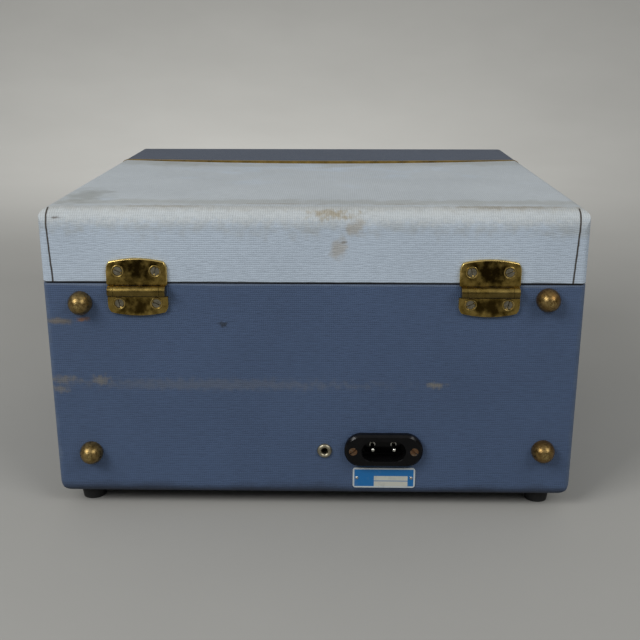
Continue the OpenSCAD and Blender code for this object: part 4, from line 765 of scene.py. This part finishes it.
def sagging(node, material, depth):
    """A copy of a piece of the lid's top that has sunk a little, most where hood and sheet meet."""
    columns, row_pitch = 28, 12 * MM
    skin, seam_gap, hair = 9 * MM, 0.48 * MM, 0.01 * MM
    work = node_copy(node)
    low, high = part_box(node)
    rows = max(int((high.y - low.y) / row_pitch), 1)
    for count, axis in ((columns, 0), (rows, 1)):
        normal = Vector((1, 0, 0)) if axis == 0 else Vector((0, 1, 0))
        for i in range(1, count):
            at = Vector(low)
            at[axis] += (high[axis] - low[axis]) * i / count
            everything = list(work.verts) + list(work.edges) + list(work.faces)
            bmesh.ops.bisect_plane(work, geom=everything, dist=0.001 * MM, plane_co=at, plane_no=normal)
    for vert in work.verts:
        # The covering closes the seam to the side boards
        if node == "lid_top" and abs(vert.co.x) > LID_HIGH.x - hair:
            vert.co.x += math.copysign(seam_gap, vert.co.x)
        if vert.co.z < Z_TOP - skin:
            continue
        across = max(1 - (vert.co.x / LID_HIGH.x) ** 2, 0.0)
        behind = (Y_BACK - vert.co.y) / (Y_BACK - Y_SPLIT)
        before = (vert.co.y - Y_FRONT) / (Y_SPLIT - Y_FRONT)
        vert.co.z -= depth * across * max(min(behind, before), 0.0) ** 2
    piece = new_piece(node + "_sagged", finished_mesh(node + "_sagged", work), material, "lid")
    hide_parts(node)


class RECORDER_OT_lid(bpy.types.Operator):
    """Cover the lid, with its sagging top sheet, hood and gilt bead"""

    bl_idname = "recorder.lid"
    bl_label = "Lid"

    def execute(self, context):
        pale = lid_cloth()
        size = sizes()
        sagging("lid_top", pale, size.lid_sag)
        sagging("lid_lining", lining_cloth(), size.lid_sag)
        sagging("lid_front", hood_leathercloth(), size.hood_sag)
        sagging("gilt_bead", rolled_gilt(), size.hood_sag)
        dress(pale, "lid_sides")
        dress(black_rubber(), "lid_seal")
        return {"FINISHED"}


def ring_tree():
    """Geometry Nodes: a rounded wire ring round each seed point, facing the back."""
    tree, inputs, output = growing_tree("screw_cups", [
        ("Geometry", "Geometry"), ("Ring radius", "Float"), ("Wire radius", "Float"), ("Finish", "Material"),
    ])
    ring = add(tree, "CurvePrimitiveCircle", {"Resolution": 32, "Radius": inputs.outputs[1]})
    wire = add(tree, "CurvePrimitiveCircle", {"Resolution": 8, "Radius": inputs.outputs[2]})
    tube = add(tree, "CurveToMesh", {"Curve": ring, "Profile Curve": wire})
    points = add(tree, "MeshToPoints", {"Mesh": inputs.outputs[0]})
    copies = add(tree, "InstanceOnPoints",
                 {"Points": points, "Instance": tube, "Rotation": (math.pi / 2, 0, 0)})
    return finish_tree(tree, copies, inputs.outputs[3], output)


def screw_places(node):
    """Middle of each screw head of a node that shows on the back face."""
    work = bmesh.new()
    work.from_mesh(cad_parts[node].data)
    bmesh.ops.remove_doubles(work, verts=work.verts, dist=WELD)
    places = []
    left = set(work.verts)
    while left:
        island, queue = [], [left.pop()]
        while queue:
            vert = queue.pop()
            island.append(vert.co.copy())
            for edge in vert.link_edges:
                other = edge.other_vert(vert)
                if other in left:
                    left.remove(other)
                    queue.append(other)
        low = Vector(min(co[i] for co in island) for i in range(3))
        high = Vector(max(co[i] for co in island) for i in range(3))
        places.append(((low + high) / 2, high.y))
    work.free()
    return [Vector((mid.x, top, mid.z)) for mid, top in places if top > Y_BACK]


class RECORDER_OT_hinges(bpy.types.Operator):
    """Soften the hinge leaves and set a raised cup round each screw"""

    bl_idname = "recorder.hinges"
    bl_label = "Hinges"

    def execute(self, context):
        brass, cup = hinge_brass(), rubbed_brass()
        axis_z = middle("hinge_pins").z
        face_y = Y_BACK + 1.9 * MM
        # Edges shorter than this belong to the screws' countersinks
        short = 0.5 * MM
        lid_edge_z, lip_drop = Z_RIM + 0.2 * MM, 0.5 * MM
        leaf_reach = 25 * MM

        def on_face(edge):
            """On the outer face of a leaf, clear of the barrel."""
            outside = all(v.co.y > face_y for v in edge.verts)
            return outside and abs(edge.verts[0].co.z - axis_z) > BARREL_R

        def lip(place):
            """The lid leaf's lower front edge comes down to the barrel."""
            low = abs(place.z - lid_edge_z) < 0.05 * MM and place.y > Y_BACK + MM
            return Vector((0, 0, -lip_drop if low else 0))

        leaf_rounds = (
            (1.3 * MM, 4, lambda e: e.calc_length() > short and on_face(e)),
            (0.6 * MM, 3, lambda e: e.calc_length() < short and on_face(e)),
        )
        softened("hinge_body_leaves", "case", "brass", brass, *leaf_rounds)
        softened("hinge_lid_leaves", "lid", "brass", brass, *leaf_rounds, shift=lip)
        dress(screw_steel(), "hinge_pins", "case_screws", "lid_screws")
        tree = ring_tree()
        ring = {"Ring radius": 3.5 * MM, "Wire radius": 0.5 * MM, "Finish": cup}
        for name, node, body in (("hinge_cups_body", "case_screws", "case"),
                                 ("hinge_cups_lid", "lid_screws", "lid")):
            places = [p for p in screw_places(node) if abs(p.z - axis_z) < leaf_reach]
            new_piece(name, grown(name, tree, ring, places), cup, body)
        return {"FINISHED"}


class RECORDER_OT_sockets(bpy.types.Operator):
    """Finish the mains inlet and the jack socket"""

    bl_idname = "recorder.sockets"
    bl_label = "Sockets"

    def execute(self, context):
        softened("mains_inlet", "case", "bakelite", black_bakelite(), every(0.9 * MM))
        dress(plated_nickel(), "inlet_pins")
        dress(worn_nickel(), "jack_socket")
        return {"FINISHED"}


def rivet_tree():
    """Geometry Nodes: a low round rivet head on each seed point, facing the back."""
    tree, inputs, output = growing_tree("plate_rivets", [
        ("Geometry", "Geometry"), ("Head radius", "Float"), ("Head height", "Vector"), ("Finish", "Material"),
    ])
    ball = add(tree, "MeshUVSphere", {"Segments": 20, "Rings": 10, "Radius": inputs.outputs[1]})
    low = add(tree, "Transform", {"Geometry": ball, "Scale": inputs.outputs[2]})
    points = add(tree, "MeshToPoints", {"Mesh": inputs.outputs[0]})
    copies = add(tree, "InstanceOnPoints", {"Points": points, "Instance": low})
    return finish_tree(tree, copies, inputs.outputs[3], output)


class RECORDER_OT_plate(bpy.types.Operator):
    """Rivet the small blank enamel plate under the mains inlet"""

    bl_idname = "recorder.plate"
    bl_label = "Plate"

    def execute(self, context):
        size = sizes()
        beside_inlet, rivet_inset = 0.7 * MM, 2.7 * MM
        corner_r, corner_points, rim = 2 * MM, 7, 0.2 * MM
        centre = (middle("mains_inlet").x - beside_inlet, Z_UNDER + size.plate_up)
        half_w, half_h = size.plate_w / 2, size.plate_h / 2
        outline = []
        for i in range(4 * corner_points):
            quarter = i // corner_points * 90
            turn = math.radians(quarter + i % corner_points * 90 / (corner_points - 1))
            middle_turn = math.radians(quarter + 45)
            at_x = math.copysign(half_w - corner_r, math.cos(middle_turn)) + corner_r * math.cos(turn)
            at_z = math.copysign(half_h - corner_r, math.sin(middle_turn)) + corner_r * math.sin(turn)
            outline.append((centre[0] + at_x, centre[1] + at_z))
        work = bmesh.new()
        sides = []
        for y in (Y_BACK, Y_BACK + size.plate_t):
            sides.append([work.verts.new((x, y, z)) for x, z in outline])
            work.faces.new(sides[-1])
        for i in range(len(outline)):
            j = (i + 1) % len(outline)
            work.faces.new((sides[0][i], sides[0][j], sides[1][j], sides[1][i]))
        bmesh.ops.recalc_face_normals(work, faces=work.faces)
        outer = [e for e in work.edges if all(v in sides[1] for v in e.verts)]
        bmesh.ops.bevel(work, geom=outer, offset=rim, segments=2, profile=0.5, affect="EDGES")
        new_piece("data_plate", finished_mesh("data_plate", work), plate_enamel(centre), "case")
        nickel = plated_nickel()
        face_y = Y_BACK + size.plate_t
        places = [(centre[0] + s * (half_w - rivet_inset), face_y, centre[1]) for s in (-1, 1)]
        head = {"Head radius": 1.1 * MM, "Head height": (1.0, 0.5, 1.0), "Finish": nickel}
        new_piece("plate_rivets", grown("plate_rivets", rivet_tree(), head, places), nickel, "case")
        return {"FINISHED"}


class RECORDER_OT_front(bpy.types.Operator):
    """Finish the handle, the locks and the loudspeaker grille"""

    bl_idname = "recorder.front"
    bl_label = "Front"

    def execute(self, context):
        brass = cast_brass()
        softened("handle_brackets", "case", "brass", brass, outward(0.7 * MM))
        softened("lock_cases", "case", "brass", brass, every(0.6 * MM))
        softened("lock_strikes", "lid", "brass", brass, every(0.3 * MM))
        for side in ("left", "right"):
            softened("lock_bolt_" + side, "bolt_" + side, "brass", brass, every(0.35 * MM))
        softened("carry_handle", "handle", "bakelite", black_bakelite(), outward(2.2 * MM, 4))
        softened("speaker_grille", "case", "gilt", rolled_gilt(), every(0.6 * MM))
        dress(black_iron(), "speaker_frame")
        dress(cone_paper(), "speaker_cone")
        low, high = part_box("speaker_grille")
        edge, stand_off = 6.5 * MM, 0.3 * MM
        width, height = high.x - low.x - 2 * edge, high.z - low.z - 2 * edge
        centre = Matrix.Translation((0, Y_FRONT - stand_off, (low.z + high.z) / 2))
        upright = Matrix.Rotation(math.pi / 2, 4, "X")
        place = centre @ upright @ Matrix.Diagonal((width, height, 1, 1))
        work = bmesh.new()
        bmesh.ops.create_grid(work, x_segments=20, y_segments=8, size=0.5, matrix=place)
        mesh = finished_mesh("speaker_cloth", work)
        piece = new_piece("speaker_cloth", mesh, grille_cloth(), "case")
        return {"FINISHED"}


class RECORDER_OT_transport(bpy.types.Operator):
    """Finish the reels, the tape, the heads and the drive"""

    bl_idname = "recorder.transport"
    bl_label = "Tape transport"

    def execute(self, context):
        pale = reel_polystyrene()
        for side in ("supply", "takeup"):
            softened(side + "_reel", side, "reel_plastic", pale, every(0.35 * MM, 2))
        dress(oxide_tape(), "supply_pack", "takeup_pack", "tape_run")
        steel = turned_steel()
        dress(steel, "supply_turntable", "takeup_turntable", "capstan_shaft", "capstan_flywheel")
        dress(steel, "pinch_arm", "motor_rotor", "amp_chassis", "control_frame")
        dress(black_rubber(), "pinch_roller", "drive_belts")
        dress(plated_nickel(), "tape_heads", "tape_guides")
        dress(cast_brass(), "bearing_sleeves")
        dress(black_iron(), "motor_body", "power_supply")
        dress(blown_glass(), "valves")
        softened("head_cover", "case", "cover_plastic", slate_polystyrene(), every(0.9 * MM))
        return {"FINISHED"}


def stroke_tree():
    """Geometry Nodes: a ring of short strokes about a centre, from a first to a last angle."""
    tree, inputs, output = growing_tree("dial_strokes", [
        ("Ring radius", "Float"), ("First angle", "Float"), ("Sweep", "Float"), ("Count", "Int"),
        ("Stroke", "Vector"), ("Centre", "Vector"), ("Finish", "Material"),
    ])
    arc = add(tree, "CurveArc", {
        "Resolution": 128, "Radius": inputs.outputs[0], "Start Angle": inputs.outputs[1],
        "Sweep Angle": inputs.outputs[2]})
    points = add(tree, "CurveToPoints", {"Curve": arc, "Count": inputs.outputs[3]})
    bar = add(tree, "MeshCube", {"Size": inputs.outputs[4]})
    copies = add(tree, "InstanceOnPoints",
                 {"Points": points, "Instance": bar, "Rotation": points.outputs["Rotation"]})
    placed = add(tree, "Transform", {"Geometry": copies, "Translation": inputs.outputs[5]})
    return finish_tree(tree, placed, inputs.outputs[6], output)


class RECORDER_OT_controls(bpy.types.Operator):
    """Finish the deck, keys, knobs, their dials and the tuning eye"""

    bl_idname = "recorder.controls"
    bl_label = "Controls"

    def execute(self, context):
        dress(stoved_enamel(), "deck_plate")
        ivory = ivory_urea()
        key_round = every(0.8 * MM)
        for key in ("rewind", "stop", "play", "forward"):
            softened("key_" + key, key, "ivory_plastic", ivory, key_round)
        softened("key_record", "record", "red_plastic", red_urea(), key_round)
        strokes, ink = stroke_tree(), dial_ink()
        for knob in ("volume", "tone"):
            self.finish_knob(knob, ivory, strokes, ink)
        low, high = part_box("tuning_eye")
        eye = (low + high) / 2
        dress(phosphor_eye(eye), "tuning_eye")
        glass_r, gap, width, bevel = (high.x - low.x) / 2, 0.35 * MM, 4.15 * MM, 1 * MM
        inner, outer = glass_r + gap, glass_r + gap + width
        edge_z, shoulder_z, crown_z = 1.2 * MM, 2.4 * MM, 3 * MM
        rim = [(inner, 0), (outer, 0), (outer, edge_z), (outer - bevel, shoulder_z), (inner + bevel, crown_z),
               (inner, shoulder_z), (inner, 0)]
        work = lathe(rim, 64, Matrix.Translation((eye.x, eye.y, DECK_Z)))
        bmesh.ops.remove_doubles(work, verts=work.verts, dist=0.001 * MM)
        new_piece("eye_bezel", finished_mesh("eye_bezel", work, 60), rolled_gilt(), "case")
        return {"FINISHED"}

    def finish_knob(self, knob, ivory, strokes, ink):
        """Softens a knob, prints its strokes on the deck and its pointer on its top."""
        turn_deg = 280
        stroke_w, stroke_t, stroke_long = 0.7 * MM, 0.2 * MM, 3 * MM
        node, dial, pointer = knob + "_knob", knob + "_dial", knob + "_pointer"
        softened(node, knob, "ivory_plastic", ivory, every(0.3 * MM, 2))
        low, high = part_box(node)
        centre, radius = (low + high) / 2, (high.x - low.x) / 2
        mesh = grown(dial, strokes, {
            "Ring radius": radius + sizes().dial_gap + stroke_long / 2,
            "First angle": math.radians(90 - turn_deg / 2), "Sweep": math.radians(turn_deg),
            "Count": sizes().dial_strokes, "Stroke": (stroke_w, stroke_t, stroke_long),
            "Centre": (centre.x, centre.y, DECK_Z + 0.08 * MM), "Finish": ink})
        new_piece(dial, mesh, ink, "case")
        half_w, inner, outer = 0.6 * MM, 7.5 * MM, radius - 5.2 * MM
        work = bmesh.new()
        block(work, (-half_w, inner, -0.3 * MM), (half_w, outer, 0.25 * MM), 0.1 * MM)
        work.transform(Matrix.Translation((centre.x, centre.y, high.z))
                       @ Matrix.Rotation(math.radians(turn_deg / 2), 4, "Z"))
        new_piece(pointer, finished_mesh(pointer, work), ink, knob)


class RECORDER_OT_stage(bpy.types.Operator):
    """Set the pale floor, the soft studio light and the camera"""

    bl_idname = "recorder.stage"
    bl_label = "Stage"

    def execute(self, context):
        context.scene.view_settings.view_transform = "Standard"
        self.roll_out_paper(context)
        self.set_light(context)
        self.set_camera(context)
        return {"FINISHED"}

    def roll_out_paper(self, context):
        """Lays a round seamless paper that bends up all round, far from the machine."""
        # Radii in metres
        flat, reach, bend = 0.7, 1.4, 3.0
        step_deg, steps = 5, 17
        turns = [math.radians(step_deg * i) for i in range(steps)]
        arc = [(reach + bend * math.sin(a), bend - bend * math.cos(a)) for a in turns]
        work = lathe([(0, 0), (flat, 0)] + arc, 96, Matrix.Identity(4))
        for face in work.faces:
            face.normal_flip()
        mesh = bpy.data.meshes.new("seamless_floor")
        work.to_mesh(mesh)
        work.free()
        mesh.shade_smooth()
        mesh.materials.append(mottled("paper_seamless_grey", "#93928e", "#979692", 0.4, (0.85, 0.95)))
        floor = bpy.data.objects.new("seamless_floor", mesh)
        context.collection.objects.link(floor)

    def set_light(self, context):
        """Two softboxes on the machine, one on the paper behind it, and pale air."""
        # Name, place, aim, size and power of each lamp
        for name, place, aim, size, power in (
            ("left_softbox", (1.2, 1.2, 1.3), (0, 0, 0.1), 0.9, 23.5),
            ("right_softbox", (-1.3, 1.3, 1.45), (0, 0, 0.1), 1.0, 14.5),
            ("wall_light", (0.2, -1.3, 1.2), (0.1, -2.6, 0.25), 1.2, 23.5),
        ):
            lamp = bpy.data.lights.new(name, "AREA")
            lamp.shape = "SQUARE"
            lamp.size = size
            lamp.energy = power
            holder = bpy.data.objects.new(name, lamp)
            holder.location = place
            holder.rotation_euler = (Vector(aim) - Vector(place)).to_track_quat("-Z", "Y").to_euler()
            context.collection.objects.link(holder)
        world = bpy.data.worlds.new("studio_air")
        world.use_nodes = True
        air = world.node_tree.nodes["Background"]
        air.inputs["Color"].default_value = linear("#cacbcb")
        air.inputs["Strength"].default_value = 1.0
        context.scene.world = world

    def set_camera(self, context):
        """The photograph's view, from behind and a little above."""
        pitch = math.radians(16.953)
        level = Vector((0.0178, -0.99984, 0.0))
        heading = level * math.cos(pitch) + Vector((0, 0, -math.sin(pitch)))
        camera = bpy.data.cameras.new("photo_camera")
        camera.sensor_width = 36.0
        camera.lens = 52.42
        eye = bpy.data.objects.new("photo_camera", camera)
        eye.location = (-14.3 * MM, Y_BACK + 562.5 * MM, 303.4 * MM)
        eye.rotation_euler = heading.to_track_quat("-Z", "Y").to_euler()
        context.collection.objects.link(eye)
        context.scene.camera = eye


OPERATORS = (
    RECORDER_OT_stage, RECORDER_OT_case, RECORDER_OT_lid, RECORDER_OT_hinges, RECORDER_OT_sockets,
    RECORDER_OT_plate, RECORDER_OT_front, RECORDER_OT_transport, RECORDER_OT_controls,
)


class RECORDER_PT_panel(bpy.types.Panel):
    """Lists the dressing steps"""

    bl_label = "Tape recorder"
    bl_idname = "RECORDER_PT_panel"
    bl_space_type = "VIEW_3D"
    bl_region_type = "UI"
    bl_category = "Recorder"

    def draw(self, context):
        for group in (context.scene.recorder_sizes, context.scene.recorder_colours):
            for name in group.__annotations__:
                self.layout.prop(group, name)
        for operator in OPERATORS:
            self.layout.operator(operator.bl_idname)


CLASSES = (RecorderSizes, RecorderColours, *OPERATORS, RECORDER_PT_panel)


def register():
    for kind in CLASSES:
        bpy.utils.register_class(kind)
    bpy.types.Scene.recorder_sizes = bpy.props.PointerProperty(type=RecorderSizes)
    bpy.types.Scene.recorder_colours = bpy.props.PointerProperty(type=RecorderColours)


def unregister():
    del bpy.types.Scene.recorder_colours
    del bpy.types.Scene.recorder_sizes
    for kind in reversed(CLASSES):
        bpy.utils.unregister_class(kind)


def main():
    """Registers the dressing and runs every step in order."""
    register()
    for operator in OPERATORS:
        group, name = operator.bl_idname.split(".")
        getattr(getattr(bpy.ops, group), name)()


if __name__ == "__main__":
    main()
